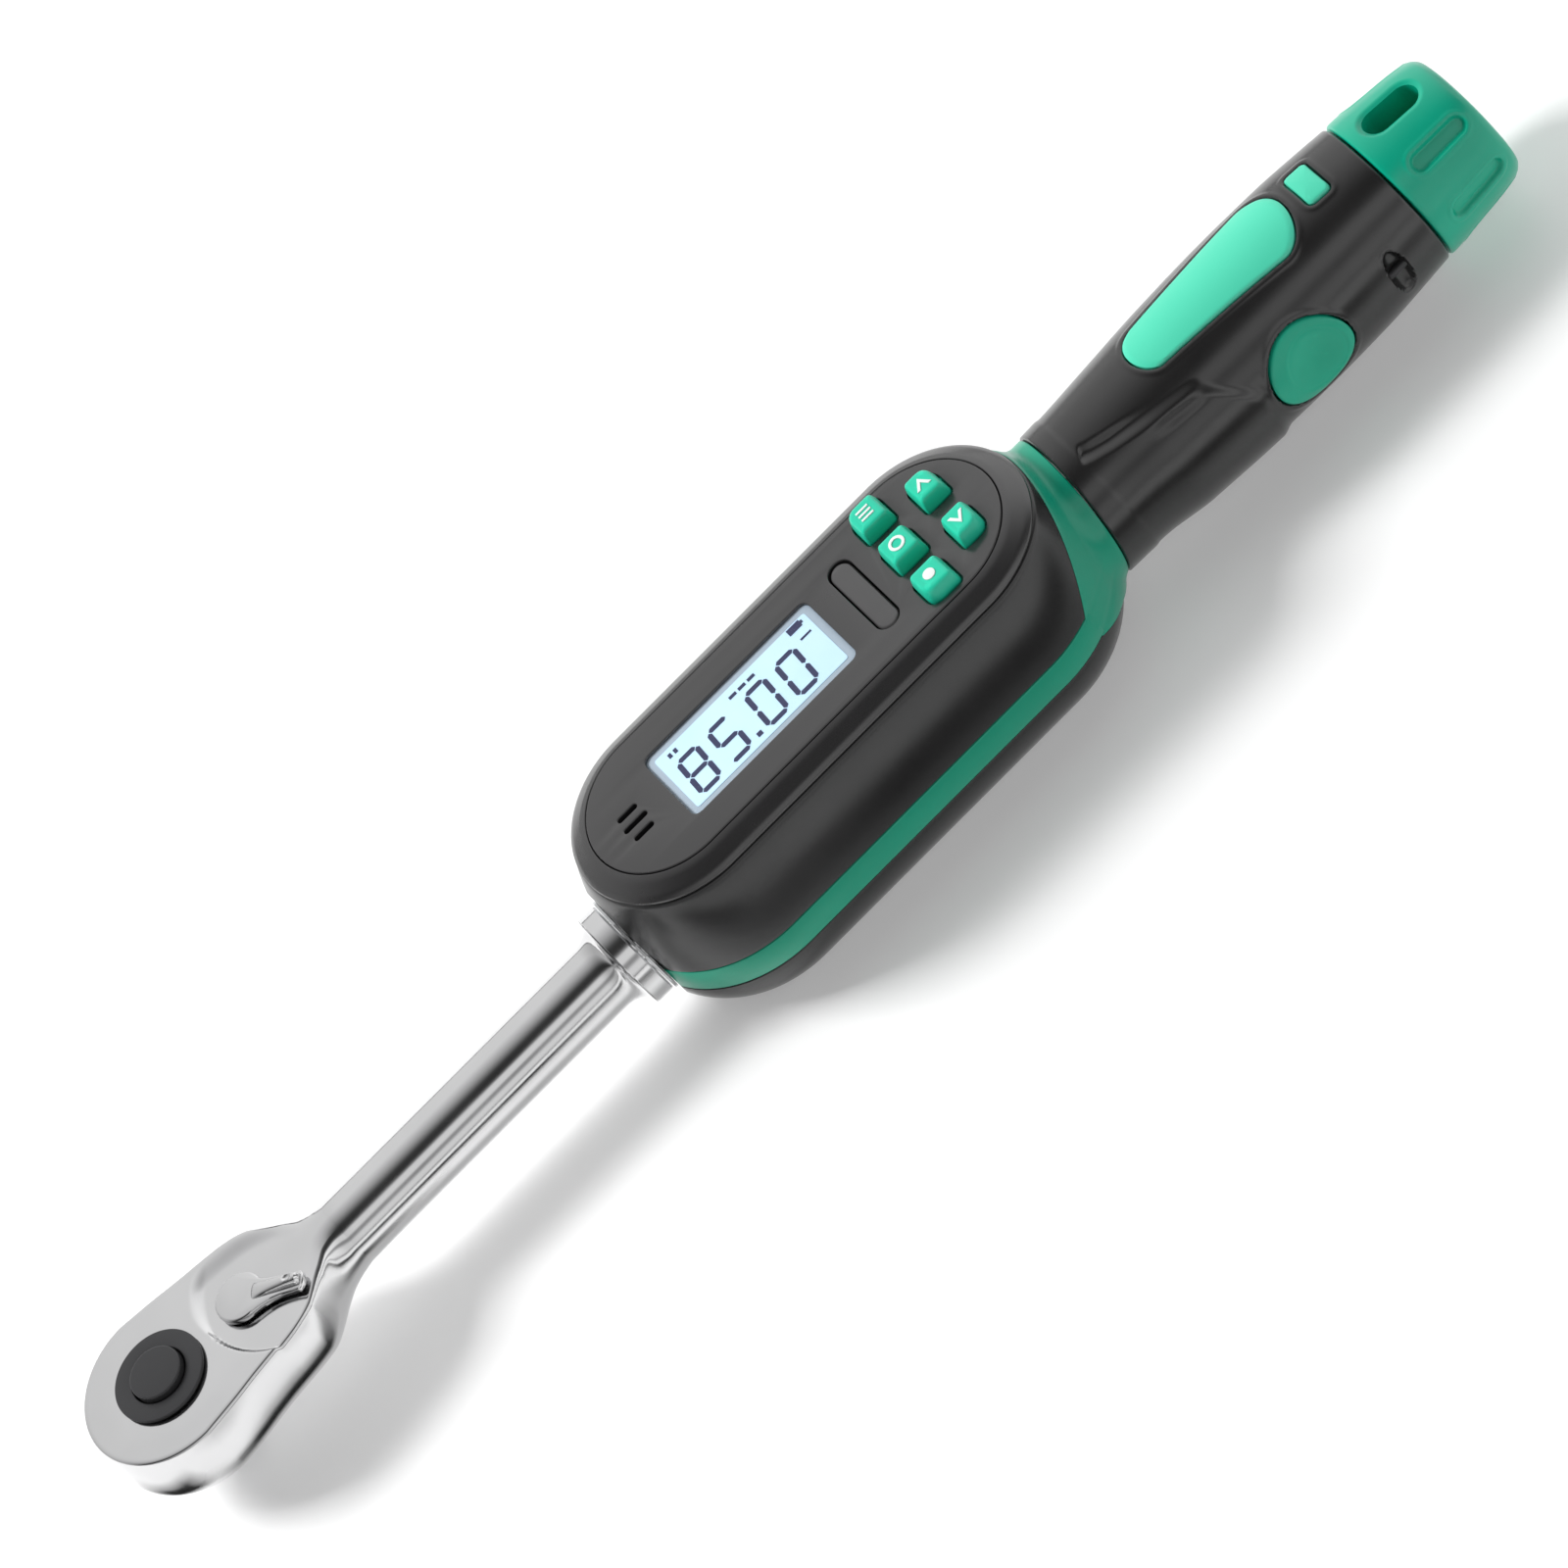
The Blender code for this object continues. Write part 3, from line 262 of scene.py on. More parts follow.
brass = metal("bright_brass", (0.76, 0.56, 0.24), 0.22)
board = plastic("green_board_laminate", (0.01, 0.15, 0.06), (0.008, 0.12, 0.05), 0.4)
resin = plastic("moulded_black_resin", (0.02, 0.02, 0.02), (0.016, 0.016, 0.016), 0.5)
diffuser = plastic("milky_light_diffuser", (0.82, 0.88, 0.92), (0.78, 0.84, 0.9), 0.45)
lens_dark = plastic("smoked_light_lens", (0.060, 0.059, 0.060), (0.050, 0.049, 0.05), 0.3, 5200.0, 0.03, coat=0.4)
lead_red = plastic("red_lead_sleeve", (0.42, 0.02, 0.02), (0.36, 0.015, 0.015), 0.4)
lead_black = plastic("black_lead_sleeve", (0.02, 0.02, 0.02), (0.015, 0.015, 0.015), 0.4)
cell_dark = metal("dark_cell_wrap", (0.08, 0.08, 0.09), 0.3)
cell_copper = metal("copper_cell_wrap", (0.62, 0.36, 0.16), 0.3)
border = plastic("display_border_print", (0.36, 0.44, 0.52), (0.34, 0.42, 0.50), 0.35, 3000.0, 0.02, wear=0.0)
segment = plastic("dark_segment", (0.006, 0.009, 0.07), (0.005, 0.007, 0.06), 0.6, 3000.0, 0.02, wear=0.0)

glow, shader = principled("lit_liquid_crystal", (0.50, 0.72, 0.88), 0.35)
tree = glow.node_tree
coords = object_coords(tree)
shade = mixed(tree, spread(tree, noise(tree, coords, 60.0, 2.0), 0.0, 1.0), (0.46, 0.68, 0.86), (0.52, 0.73, 0.90))
tree.links.new(shade, shader.inputs["Base Color"])
tree.links.new(shade, shader.inputs["Emission Color"])
shader.inputs["Emission Strength"].default_value = 0.16
bumped(tree, shader, noise(tree, coords, 4000.0, 1.0), 0.02, 0.00002)

pane, shader = principled("clear_display_pane", (0.9, 0.95, 1.0), 0.04, alpha=0.02, specular=0.2)
tree = pane.node_tree
coords = object_coords(tree)
tree.links.new(spread(tree, noise(tree, coords, 120.0, 4.0), 0.03, 0.10), shader.inputs["Roughness"])
bumped(tree, shader, noise(tree, coords, 300.0, 2.0), 0.01, 0.00002)

floor_mat, shader = principled("pale_studio_floor", (0.74, 0.74, 0.74), 0.7, specular=0.2)
tree = floor_mat.node_tree
coords = object_coords(tree)
tree.links.new(spread(tree, noise(tree, coords, 6.0, 3.0), 0.62, 0.75), shader.inputs["Roughness"])
tree.links.new(mixed(tree, spread(tree, noise(tree, coords, 3.0, 2.0), 0.0, 1.0), (0.74, 0.74, 0.74), (0.755, 0.755, 0.755)), shader.inputs["Base Color"])
shader.inputs["Emission Color"].default_value = (1.0, 1.0, 1.0, 1)
shader.inputs["Emission Strength"].default_value = 0.24

bpy.ops.mesh.primitive_plane_add(size=8.0, location=(0.16, 0, -0.0003))
floor = bpy.context.object
floor.name = "studio_floor"
floor.data.materials.append(floor_mat)
# Black sheets on the floor, hidden from the camera, from diffuse light and from shadows, so they show only in
# reflections: painted shade that stands in for shadowed floor and dark cards in the chrome and the black plastics.
flag_mat, shader = principled("reflection_only_painted_shade", (0.012, 0.012, 0.012), 0.9)
tree = flag_mat.node_tree
split = tree.nodes.new("ShaderNodeSeparateXYZ")
tree.links.new(tree.nodes.new("ShaderNodeTexCoord").outputs["Generated"], split.inputs[0])
fade = []
for side_axis in ("X", "Y"):
    inward = tree.nodes.new("ShaderNodeMath")
    inward.operation = "PINGPONG"
    inward.inputs[1].default_value = 0.5
    tree.links.new(split.outputs[side_axis], inward.inputs[0])
    fade.append(spread(tree, inward.outputs[0], 0.0, 1.0, 0.0, 0.34))
both = tree.nodes.new("ShaderNodeMath")
both.operation = "MULTIPLY"
tree.links.new(fade[0], both.inputs[0])
tree.links.new(fade[1], both.inputs[1])
tree.links.new(both.outputs[0], shader.inputs["Alpha"])
weave = noise(tree, object_coords(tree), 900.0, 2.0)
tree.links.new(spread(tree, weave, 0.85, 0.95), shader.inputs["Roughness"])
# Where each sheet puts painted shade: the dark line along the shaft, the dark band low on the head's side, bands on
# the pod and grip, and under the head's round end.
for name, x0, x1, y0, y1 in (
    ("flag_shaft", -0.05, 0.16, -0.155, -0.048),
    ("flag_head", -0.02, 0.065, -0.037, -0.016),
    ("flag_pod", 0.05, 0.42, -0.115, -0.028),
    ("flag_end", -0.036, -0.012, -0.034, 0.008),
):
    bpy.ops.mesh.primitive_plane_add(size=1.0, location=((x0 + x1) / 2, (y0 + y1) / 2, 0.0006 + 0.01 * abs(y1)))
    flag = bpy.context.object
    flag.name = name
    flag.scale = (x1 - x0, y1 - y0, 1)
    flag.data.materials.append(flag_mat)
    flag.visible_camera = False
    flag.visible_diffuse = False
    flag.visible_shadow = False

# ------------------------------------------------------------------ mesh helpers


def link(name, mesh, material, angle=32.0):
    made = bpy.data.objects.new(name, mesh)
    scene.collection.objects.link(made)
    if material is not None:
        mesh.materials.clear()
        mesh.materials.append(material)
    mesh.shade_smooth()
    mesh.set_sharp_from_angle(angle=rad(angle))
    return made


def from_bmesh(name, bm, material, angle=32.0, merge=2e-6):
    bmesh.ops.remove_doubles(bm, verts=bm.verts, dist=merge)
    bmesh.ops.dissolve_degenerate(bm, edges=bm.edges, dist=1e-7)
    bmesh.ops.recalc_face_normals(bm, faces=bm.faces)
    mesh = bpy.data.meshes.new(name)
    bm.to_mesh(mesh)
    bm.free()
    return link(name, mesh, material, angle)


def grid(name, rows, material=None, round_row=True, round_column=False, caps=False, angle=32.0, merge=2e-6):
    """Rows of points (mm) joined into a surface. round_row closes each row, round_column joins last row to first."""
    bm = bmesh.new()
    verts = [[bm.verts.new(Vector(p) * MM) for p in row] for row in rows]
    n = len(verts[0])
    pairs = list(zip(verts, verts[1:])) + ([(verts[-1], verts[0])] if round_column else [])
    for a, b in pairs:
        for i in range(n if round_row else n - 1):
            j = (i + 1) % n
            bm.faces.new((a[i], a[j], b[j], b[i]))
    if caps:
        bm.faces.new(verts[0][::-1])
        bm.faces.new(verts[-1])
    return from_bmesh(name, bm, material, angle, merge)


def lathe(name, profile, centre, axis="Z", steps=96, material=None, angle=32.0):
    """Turns (radius, height) points. A profile with both ends off the axis is closed into a ring."""
    rows = []
    for r, h in profile:
        row = []
        for k in range(steps):
            a = 2 * PI * k / steps
            x, y = r * cos(a), r * sin(a)
            p = {"Z": (x, y, h), "X": (h, x, y), "Y": (x, h, y)}[axis]
            row.append(tuple(c + q for c, q in zip(centre, p)))
        rows.append(row)
    ring = profile[0][0] > 0 and profile[-1][0] > 0
    return grid(name, rows, material, True, ring, False, angle)


def rounded(points, radius=0.3, steps=4):
    """Replaces the inner corners of an open (r, h) profile with small arcs."""
    result = [points[0]]
    for before, here, after in zip(points, points[1:], points[2:]):
        a, b, c = Vector(before), Vector(here), Vector(after)
        u, v = (a - b), (c - b)
        lu, lv = u.length, v.length
        if lu < 1e-6 or lv < 1e-6:
            continue
        u, v = u / lu, v / lv
        if u.dot(v) < -0.985:
            result.append(here)
            continue
        cut = min(radius, lu * 0.45, lv * 0.45)
        p, q = b + u * cut, b + v * cut
        for k in range(steps + 1):
            t = k / steps
            w = (1 - t) ** 2 * p + 2 * t * (1 - t) * b + t * t * q
            result.append((w.x, w.y))
    result.append(points[-1])
    return result


def plate(name, outlines, low, high, material=None, bevel=0.0, resolution=2, angle=32.0):
    """A flat sheet from outlines, any holes among them, with all its edges rounded by bevel."""
    curve = bpy.data.curves.new(name, "CURVE")
    curve.dimensions = "2D"
    curve.fill_mode = "BOTH"
    curve.extrude = ((high - low) / 2 - bevel) * MM
    curve.bevel_depth = bevel * MM
    curve.offset = -bevel * MM
    curve.bevel_resolution = resolution
    for outline in outlines:
        spline = curve.splines.new("POLY")
        spline.points.add(len(outline) - 1)
        for point, (x, y) in zip(spline.points, outline):
            point.co = (x * MM, y * MM, 0, 1)
        spline.use_cyclic_u = True
    made = bpy.data.objects.new(name + "_curve", curve)
    scene.collection.objects.link(made)
    made.location = (0, 0, (low + high) / 2 * MM)
    bpy.context.view_layer.update()
    mesh = bpy.data.meshes.new_from_object(made.evaluated_get(bpy.context.evaluated_depsgraph_get()))
    mesh.transform(made.matrix_world)
    bpy.data.objects.remove(made, do_unlink=True)
    bm = bmesh.new()
    bm.from_mesh(mesh)
    bpy.data.meshes.remove(mesh)
    return from_bmesh(name, bm, material, angle)


def apply(made, angle=32.0):
    """Bakes the modifiers into the mesh."""
    bpy.context.view_layer.update()
    mesh = bpy.data.meshes.new_from_object(made.evaluated_get(bpy.context.evaluated_depsgraph_get()))
    old = made.data
    made.modifiers.clear()
    made.data = mesh
    bpy.data.meshes.remove(old)
    mesh.shade_smooth()
    mesh.set_sharp_from_angle(angle=rad(angle))
    return made


def cut(made, cutters, how="DIFFERENCE", angle=32.0):
    for cutter in cutters:
        mod = made.modifiers.new("cut", "BOOLEAN")
        mod.operation = how
        mod.solver = "EXACT"
        mod.object = cutter
    apply(made, angle)
    for cutter in cutters:
        bpy.data.objects.remove(cutter, do_unlink=True)
    return made


def bevel(made, width, segments=2, limit=40.0, angle=32.0):
    mod = made.modifiers.new("edge", "BEVEL")
    mod.width = width * MM
    mod.segments = segments
    mod.limit_method = "ANGLE"
    mod.angle_limit = rad(limit)
    mod.harden_normals = False
    return apply(made, angle)


def piece(made, body, slot, *nodes):
    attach(made, body)
    if nodes:
        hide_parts(*nodes)
    return made


def smooth(t):
    t = min(max(t, 0.0), 1.0)
    return t * t * (3 - 2 * t)


def pchip(xs, ys):
    """A smooth curve through the points that doesn't overshoot."""
    xs, ys = list(xs), list(ys)
    d = [(ys[i + 1] - ys[i]) / (xs[i + 1] - xs[i]) for i in range(len(xs) - 1)]
    m_ = [d[0]] + [0.0 if a * b <= 0 else 2 * a * b / (a + b) for a, b in zip(d, d[1:])] + [d[-1]]

    def at(x):
        x = min(max(x, xs[0]), xs[-1])
        k = min(max(i for i in range(len(xs)) if xs[i] <= x), len(xs) - 2)
        h = xs[k + 1] - xs[k]
        t = (x - xs[k]) / h
        return (2 * t**3 - 3 * t**2 + 1) * ys[k] + (t**3 - 2 * t**2 + t) * h * m_[k] + (3 * t**2 - 2 * t**3) * ys[k + 1] + (t**3 - t**2) * h * m_[k + 1]

    return at


def circle(x, y, r, count=48):
    return [(x + r * cos(2 * PI * i / count), y + r * sin(2 * PI * i / count)) for i in range(count)]


def stadium(x0, x1, r, half=40):
    right_end = [(x1 + r * sin(a), -r * cos(a)) for a in np.linspace(0, PI, half + 1)]
    left_end = [(x0 - r * sin(a), r * cos(a)) for a in np.linspace(0, PI, half + 1)]
    return right_end + left_end


# ------------------------------------------------------------------ ratchet head, shaft and collar

HEAD_R, TOP, BOTTOM, SHAFT_R = 18.8, 7.9, -8.5, 7.3
side_width = pchip((0, 4, 8, 12, 17, 22, 26, 29, 32, 35, 38, 41, 44, 48), (18.8, 18.37, 17.65, 16.85, 16.1, 15.55, 14.9, 14.0, 12.5, 10.6, 8.9, 7.85, 7.4, 7.3))
edge_width = pchip((0, 8, 14, 20, 24, 27, 29.2, 31.5, 33.6, 36.4, 39, 42, 44), (17.75, 16.75, 15.75, 14.95, 14.3, 13.5, 12.6, 11.2, 9.4, 6.7, 4.6, 3.7, 3.65))


def top_height(x, y):
    """The face steps down round the lever, along an arc: softly at the far side, and not at the very rim there."""
    d = math.hypot(x - 30.5, y)
    far = smooth((y + 2.0) / 9.0)
    wide = 0.9 + 2.3 * far
    drop = 0.9 * (1 - smooth((d - 18.1 + wide * 0.5) / wide))
    w = HEAD_R if x <= 0 else side_width(x)
    rim = smooth((w - 1.2 - y) / 5.5)
    ring = math.hypot(min(x, 0.0), y) if x < 0 else abs(y)
    return 7.9 - drop * rim - 0.5 * (ring / 18.0) ** 2 - 0.2 * smooth((math.hypot(x, y) - 10.0) / 9.0)


def head_section(x, foot, way):
    """Points from the bottom's middle round the side to the top's middle, for the outline station."""
    b = min(max((x - 27.0) / 16.5, 0.0), 1.0) ** 1.5
    w = HEAD_R if x <= 0 else side_width(x)
    e = 17.75 if x <= 0 else edge_width(x)
    if b < 0.995:
        e = min(max((e - b * 3.65) / (1 - b), 3.65), w - 0.6)
    rb = 5.6
    pts = []
    for t in np.linspace(0, 1, 5)[:-1]:
        pts.append((t * (w - rb), BOTTOM))
    for a in np.linspace(-PI / 2, 0, 11)[:-1]:
        pts.append((w - rb + rb * cos(a), BOTTOM + rb + rb * sin(a)))
    z0 = BOTTOM + rb
    here = (foot[0] + way[0] * e, foot[1] + way[1] * e)
    zt = top_height(*here) - 0.75
    for t in np.linspace(0, 1, 11):
        pts.append((w - (w - e - 0.3) * t * t, z0 + (zt - z0) * t))
    for a in np.radians((15, 32, 50, 68, 84)):
        pts.append((e - 0.45 + 0.75 * cos(a), zt + 0.75 * sin(a)))
    count = len(pts)
    ball = [(SHAFT_R * cos(a), SHAFT_R * sin(a)) for a in np.linspace(-PI / 2, PI / 3, count)]
    edge = [((1 - b) * p[0] + b * q[0], (1 - b) * p[1] + b * q[1]) for p, q in zip(pts, ball)]
    row = [(foot[0] + way[0] * r, foot[1] + way[1] * r, Z + h) for r, h in edge]
    last_r, last_h = edge[-1]
    for k in range(1, 57):
        r = last_r * (1 - k / 56)
        px, py = foot[0] + way[0] * r, foot[1] + way[1] * r
        h = (1 - b) * top_height(px, py) + b * math.sqrt(SHAFT_R**2 - (3.65 * (1 - k / 56)) ** 2)
        row.append((px, py, Z + h))
    return row


stations = [43.5 - 0.30 * k for k in range(146)]
stations = [x for x in stations if x > 0.05] + [0.0]
rows = [head_section(x, (x, 0.0), (0.0, 1.0)) for x in stations]
rows += [head_section(0.0, (0.0, 0.0), (cos(a), sin(a))) for a in np.linspace(PI / 2, 3 * PI / 2, 140)[1:-1]]
rows += [head_section(x, (x, 0.0), (0.0, -1.0)) for x in stations[::-1]]
head = grid("head_and_shaft", rows, None, False, False, False, 32.0, 4e-6)
bm = bmesh.new()
bm.from_mesh(head.data)
bmesh.ops.holes_fill(bm, edges=[e for e in bm.edges if e.is_boundary], sides=0)
bmesh.ops.recalc_face_normals(bm, faces=bm.faces)
bm.to_mesh(head.data)
bm.free()
flare = [(7.3 + 3.55 * (1 - cos(t * PI / 2)), 111.7 + 4.4 * sin(t * PI / 2)) for t in np.linspace(0, 1, 12)]
shaft_profile = [(0, 41.0), (6.9, 41.0), (7.3, 43.6)] + [(7.3, x) for x in np.linspace(46, 111, 40)] + flare + [(10.65, 116.15), (10.85, 116.4), (10.85, 119.9), (10.6, 120.2), (6.5, 120.2), (6.5, 124.2), (0, 124.2)]
shaft = lathe("shaft_solid", [(r, h) for r, h in shaft_profile], (0, 0, Z), "X", 128)
cut(head, [shaft], "UNION", 28.0)
cut(head, [lathe("neck_bore", [(0, 3.5), (8.1, 3.5), (8.1, 12), (0, 12)], (0, 0, Z), steps=96), lathe("lever_bore", [(0, 3.5), (4.6, 3.5), (4.6, 12), (0, 12)], (21.1, 0, Z), steps=64)], "DIFFERENCE", 28.0)
head.data.materials.clear()
head.data.materials.append(chrome)
piece(head, "root", "polished_chrome", "ratchet_head")

lathe_cap = lathe("drive_disc", rounded([(6.0, 4.3), (6.0, 8.95), (9.8, 8.95), (9.8, 8.15), (7.7, 8.15), (7.7, 4.3), (6.0, 4.3)], 0.28)[:-1], (0, 0, Z), steps=128, material=dark_steel)
piece(lathe_cap, "anvil", "blackened_steel", "anvil_cap")
button = lathe("release_push_button", rounded([(0, 10.3), (5.65, 10.3), (5.65, 6.9), (1.8, 6.9), (1.8, 8.2), (0, 8.2)], 0.4), (0, 0, Z), steps=96, material=dark_steel)
piece(button, "release", "blackened_steel", "release_button")

# ------------------------------------------------------------------ reversing lever, back plate and its screws

LEVER_X, LEVER_R = 21.1, 5.35
swing = rad(-38.0)


def lever_at(forward, side, height):
    return (LEVER_X + forward * cos(swing) - side * sin(swing), forward * sin(swing) + side * cos(swing), Z + height)


def lever_shape(grow):
    """Disc with a tail: the far edge is nearly straight and the near edge is hollowed."""
    pts = [((LEVER_R + grow) * cos(a), (LEVER_R + grow) * sin(a)) for a in np.radians(np.linspace(36, 304, 60))]
    low = pchip((3.0, 5.0, 7.5, 10.0, 12.5, 13.6), (-4.43, -3.35, -2.45, -2.05, -1.95, -1.9))
    high = pchip((4.33, 6.5, 9.0, 12.0, 13.4), (3.14, 2.75, 2.6, 2.5, 2.3))
    pts += [(x, low(x) - grow) for x in np.linspace(3.4, 13.4, 24)]
    pts += [(13.4 + (1.15 + grow) * sin(a), (0.2 + (2.1 + grow) * -cos(a))) for a in np.linspace(0.1, PI - 0.1, 14)]
    pts += [(x, high(x) + grow) for x in np.linspace(13.2, 4.7, 22)]
    return pts


rows = []
for h, g in ((7.3, -0.35), (7.34, -0.1), (7.5, 0.0), (8.2, 0.0), (8.5, -0.08), (8.68, -0.26), (8.76, -0.55)):
    rows.append([lever_at(x, y, h + 0.25 * smooth((x - 11.5) / 3.0)) for x, y in lever_shape(g)])
lever = grid("selector_lever", rows, None, True, False, True, 30.0)
ridge_half = pchip((2.6, 4.5, 7.0, 10.0, 13.3), (1.95, 1.75, 1.5, 1.35, 1.25))
ridge_high = pchip((2.4, 3.6, 6.0, 9.0, 12.0, 13.9), (8.5, 9.15, 9.65, 10.1, 10.5, 10.55))
rows = []
for x in np.linspace(2.4, 13.95, 60):
    w = ridge_half(x) * (0.35 + 0.65 * smooth((x - 2.2) / 1.1)) * (1 - 0.25 * smooth((x - 13.2) / 0.9))
    top = ridge_high(x) - 0.9 * smooth((x - 13.3) / 0.8)
    row = [(-w - 0.5, 8.2)]
    for k in range(13):
        a = PI * k / 12
        row.append((-w * cos(a) * (1 - 0.12 * sin(a)), 8.35 + (top - 8.35) * sin(a) ** 0.42))
    row.append((w + 0.5, 8.2))
    dip = 0.0
    out_row = []
    for y, h in row:
        d = math.hypot((x - 11.6) / 1.15, (y - 0.15) / 0.75)
        out_row.append(lever_at(x, y + 0.25, h - 0.55 * (1 - smooth((d - 0.35) / 0.75)) * (1.0 if h > 8.8 else 0.0)))
    rows.append(out_row)
ridge = grid("selector_ridge", rows, None, True, False, True, 40.0)
spigot = lathe("selector_spigot", [(0, -5.4), (3.3, -5.4), (3.3, 7.6), (0, 7.6)], (LEVER_X, 0, Z), steps=64)
cut(lever, [ridge, spigot], "UNION", 30.0)
lever.data.materials.clear()
lever.data.materials.append(chrome)
piece(lever, "lever", "polished_chrome", "reversing_lever")

back_side = pchip((0, 8, 17, 24.9, 31.2), (15.6, 14.3, 12.9, 11.5, 6.9))
half = [(x, back_side(x)) for x in np.linspace(31.2, 0, 40)] + [(-15.6 * sin(a), 15.6 * cos(a)) for a in np.linspace(0, PI / 2, 40)[1:]]
outline = half + [(x, -y) for x, y in half[::-1][1:]]
back = plate("head_cover_plate", [outline, circle(0, 0, 8.1, 72), circle(9.5, 12.2, 1.6, 32), circle(9.5, -12.2, 1.6, 32)], Z - 8.5, Z - 6.9, chrome, 0.22)
around = [(x * 1.008 - 0.1, y * 1.022) for x, y in outline]
cut(head, [plate("cover_seat", [around], Z - 9.6, Z - 6.75)], "DIFFERENCE", 28.0)
head.data.materials.clear()
head.data.materials.append(chrome)
piece(back, "root", "polished_chrome", "head_back_plate")
for index, side in ((1, -1), (2, 1)):
    screw = lathe(f"cover_screw_{index}", rounded([(0, 5.2), (1.0, 5.2), (1.0, -0.7), (1.5, -1.1), (1.5, -2.0), (0.0, -2.05)], 0.15), (9.5, side * 12.2, Z - 6.6), steps=48)
    socket = bmesh.new()
    bmesh.ops.create_cone(socket, cap_ends=True, segments=6, radius1=0.85 * MM, radius2=0.85 * MM, depth=1.6 * MM, matrix=Matrix.Translation(Vector((9.5, side * 12.2, Z - 8.7)) * MM))
    cut(screw, [from_bmesh(f"cover_socket_{index}", socket, None)])
    screw.data.materials.clear()
    screw.data.materials.append(steel)
    piece(screw, "root", "plain_steel", f"back_plate_screw_{index}")

# ------------------------------------------------------------------ pod shells

POD_R, POD_X0, POD_X1, FLAT = 25.9, 145.0, 212.6, 121.3
BAND_TOP, BAND_LOW, DECK, FLOOR, ROUND = 0.4, -6.1, 19.7, -19.5, 13.0


def pod_inset(height):
    if height >= BAND_TOP:
        return (POD_R - 22.2) * ((height - BAND_TOP) / (DECK - BAND_TOP)) ** 2.2
    t = min(max((BAND_LOW - height) / (BAND_LOW - FLOOR), 0.0), 1.0)
    return ROUND * (1 - math.sqrt(1 - t * t))


def band_end(height):
    if height > BAND_TOP:
        return 223.7 + 0.61 * (height - BAND_TOP)
    if height < BAND_LOW:
        return 223.7 + 1.7 * (BAND_LOW - height)
    return 223.7


def pod_outline(r, flat=FLAT, end=None, arc=44, side=30, across=24):
    """Plan outline with its corners always on the same points: the neck flat, both sides and a square-cut end."""
    a0 = math.acos(min(max((POD_X0 - flat) / r, -1.0), 1.0)) if POD_X0 - flat < r else 0.0
    near = [(POD_X0 - r * cos(a), -r * sin(a)) for a in np.linspace(a0, PI / 2, arc)]
    near += [(POD_X0 + (POD_X1 - POD_X0) * t, -r) for t in np.linspace(0, 1, side + 1)[1:]]
    if end is None:
        a1 = PI / 2
    else:
        a1 = math.asin(min(max((end - POD_X1) / r, 0.0), 1.0))
    near += [(POD_X1 + r * sin(a), -r * cos(a)) for a in np.linspace(0, a1, arc)[1:]]
    x_end, y_end = near[-1]
    line = [(x_end, y_end + (0 - y_end) * t) for t in np.linspace(0, 1, across)[1:]] if end is not None else []
    half_line = near + line
    mirrored = [(x, -y) for x, y in half_line[::-1]]
    start_x, start_y = near[0]
    front = [(start_x, start_y * (1 - 2 * t)) for t in np.linspace(0, 1, across)[1:-1]]
    return half_line + mirrored + [(x, -y) for x, y in front]


def pod_row(height, inset=0.0, end_back=0.0, cut_end=True, flat=FLAT, r=None):
    radius = (POD_R - pod_inset(height) if r is None else r) - inset
    end = band_end(height) - end_back if cut_end else None
    return [(x, y, Z + height) for x, y in pod_outline(radius, flat, end)]


SEAM = 0.16
rows = [pod_row(BAND_TOP + SEAM, 0.42, SEAM + 0.3, flat=FLAT + 0.3), pod_row(BAND_TOP + SEAM + 0.04, 0.2, SEAM + 0.1, flat=FLAT + 0.1), pod_row(BAND_TOP + SEAM + 0.2, 0.03, SEAM)]
rows += [pod_row(h, 0.0, SEAM) for h in np.linspace(BAND_TOP + 0.6, DECK - 0.9, 26)]
rows += [pod_row(DECK - 0.5, 0.06, SEAM), pod_row(DECK - 0.2, 0.22, SEAM + 0.1), pod_row(DECK, 0.55, SEAM + 0.3)]
rows += [pod_row(DECK, 0, 1.5, r=19.6), pod_row(DECK, 0, 1.5, r=17.4), pod_row(17.5, 0, 1.5, r=17.4), pod_row(17.4, 0, 1.7, flat=FLAT + 2.2, r=21.6)]
rows += [pod_row(h, 2.2, 1.8, flat=FLAT + 2.2) for h in (12.0, 6.0, BAND_TOP + SEAM)]
upper = grid("upper_shell", rows, housing, True, True, False, 28.0)
piece(upper, "root", "black_housing", "upper_housing")

low_heights = [BAND_LOW - (BAND_LOW - FLOOR) * sin(t * PI / 2) for t in np.linspace(0.02, 1.0, 34)]
rows = [pod_row(BAND_LOW - SEAM, 2.2, 1.8, flat=FLAT + 2.2), pod_row(BAND_LOW - SEAM, 0.42, SEAM + 0.3, flat=FLAT + 0.3), pod_row(BAND_LOW - SEAM - 0.04, 0.2, SEAM + 0.1, flat=FLAT + 0.1), pod_row(BAND_LOW - SEAM - 0.2, 0.03, SEAM)]
rows += [pod_row(h, 0.0, SEAM) for h in low_heights if h < BAND_LOW - SEAM - 0.3]
lower = grid("lower_shell", rows[1:], None, True, False, True, 28.0)
inner = grid("lower_shell_hollow", [pod_row(h, i, 2.2, flat=FLAT + 2.2) for h, i in ((-17.2, 3.2), (-15.4, 2.6), (-11.0, 2.2), (-4.0, 2.2))], None, True, False, True)
SCREWS = [(150.0, 19.0), (150.0, -19.0), (208.0, 19.0), (208.0, -19.0)]
cut(inner, [lathe(f"boss_{i}", [(0, -22), (4.0, -22), (4.0, -1), (0, -1)], (x, y, Z), steps=48) for i, (x, y) in enumerate(SCREWS)])
cut(lower, [inner] + [lathe(f"well_{i}", [(0, -24), (2.8, -24), (2.8, -13.4), (0, -13.4)], (x, y, Z), steps=48) for i, (x, y) in enumerate(SCREWS)], "DIFFERENCE", 28.0)
lower.data.materials.clear()
lower.data.materials.append(housing)
piece(lower, "root", "black_housing", "lower_housing")
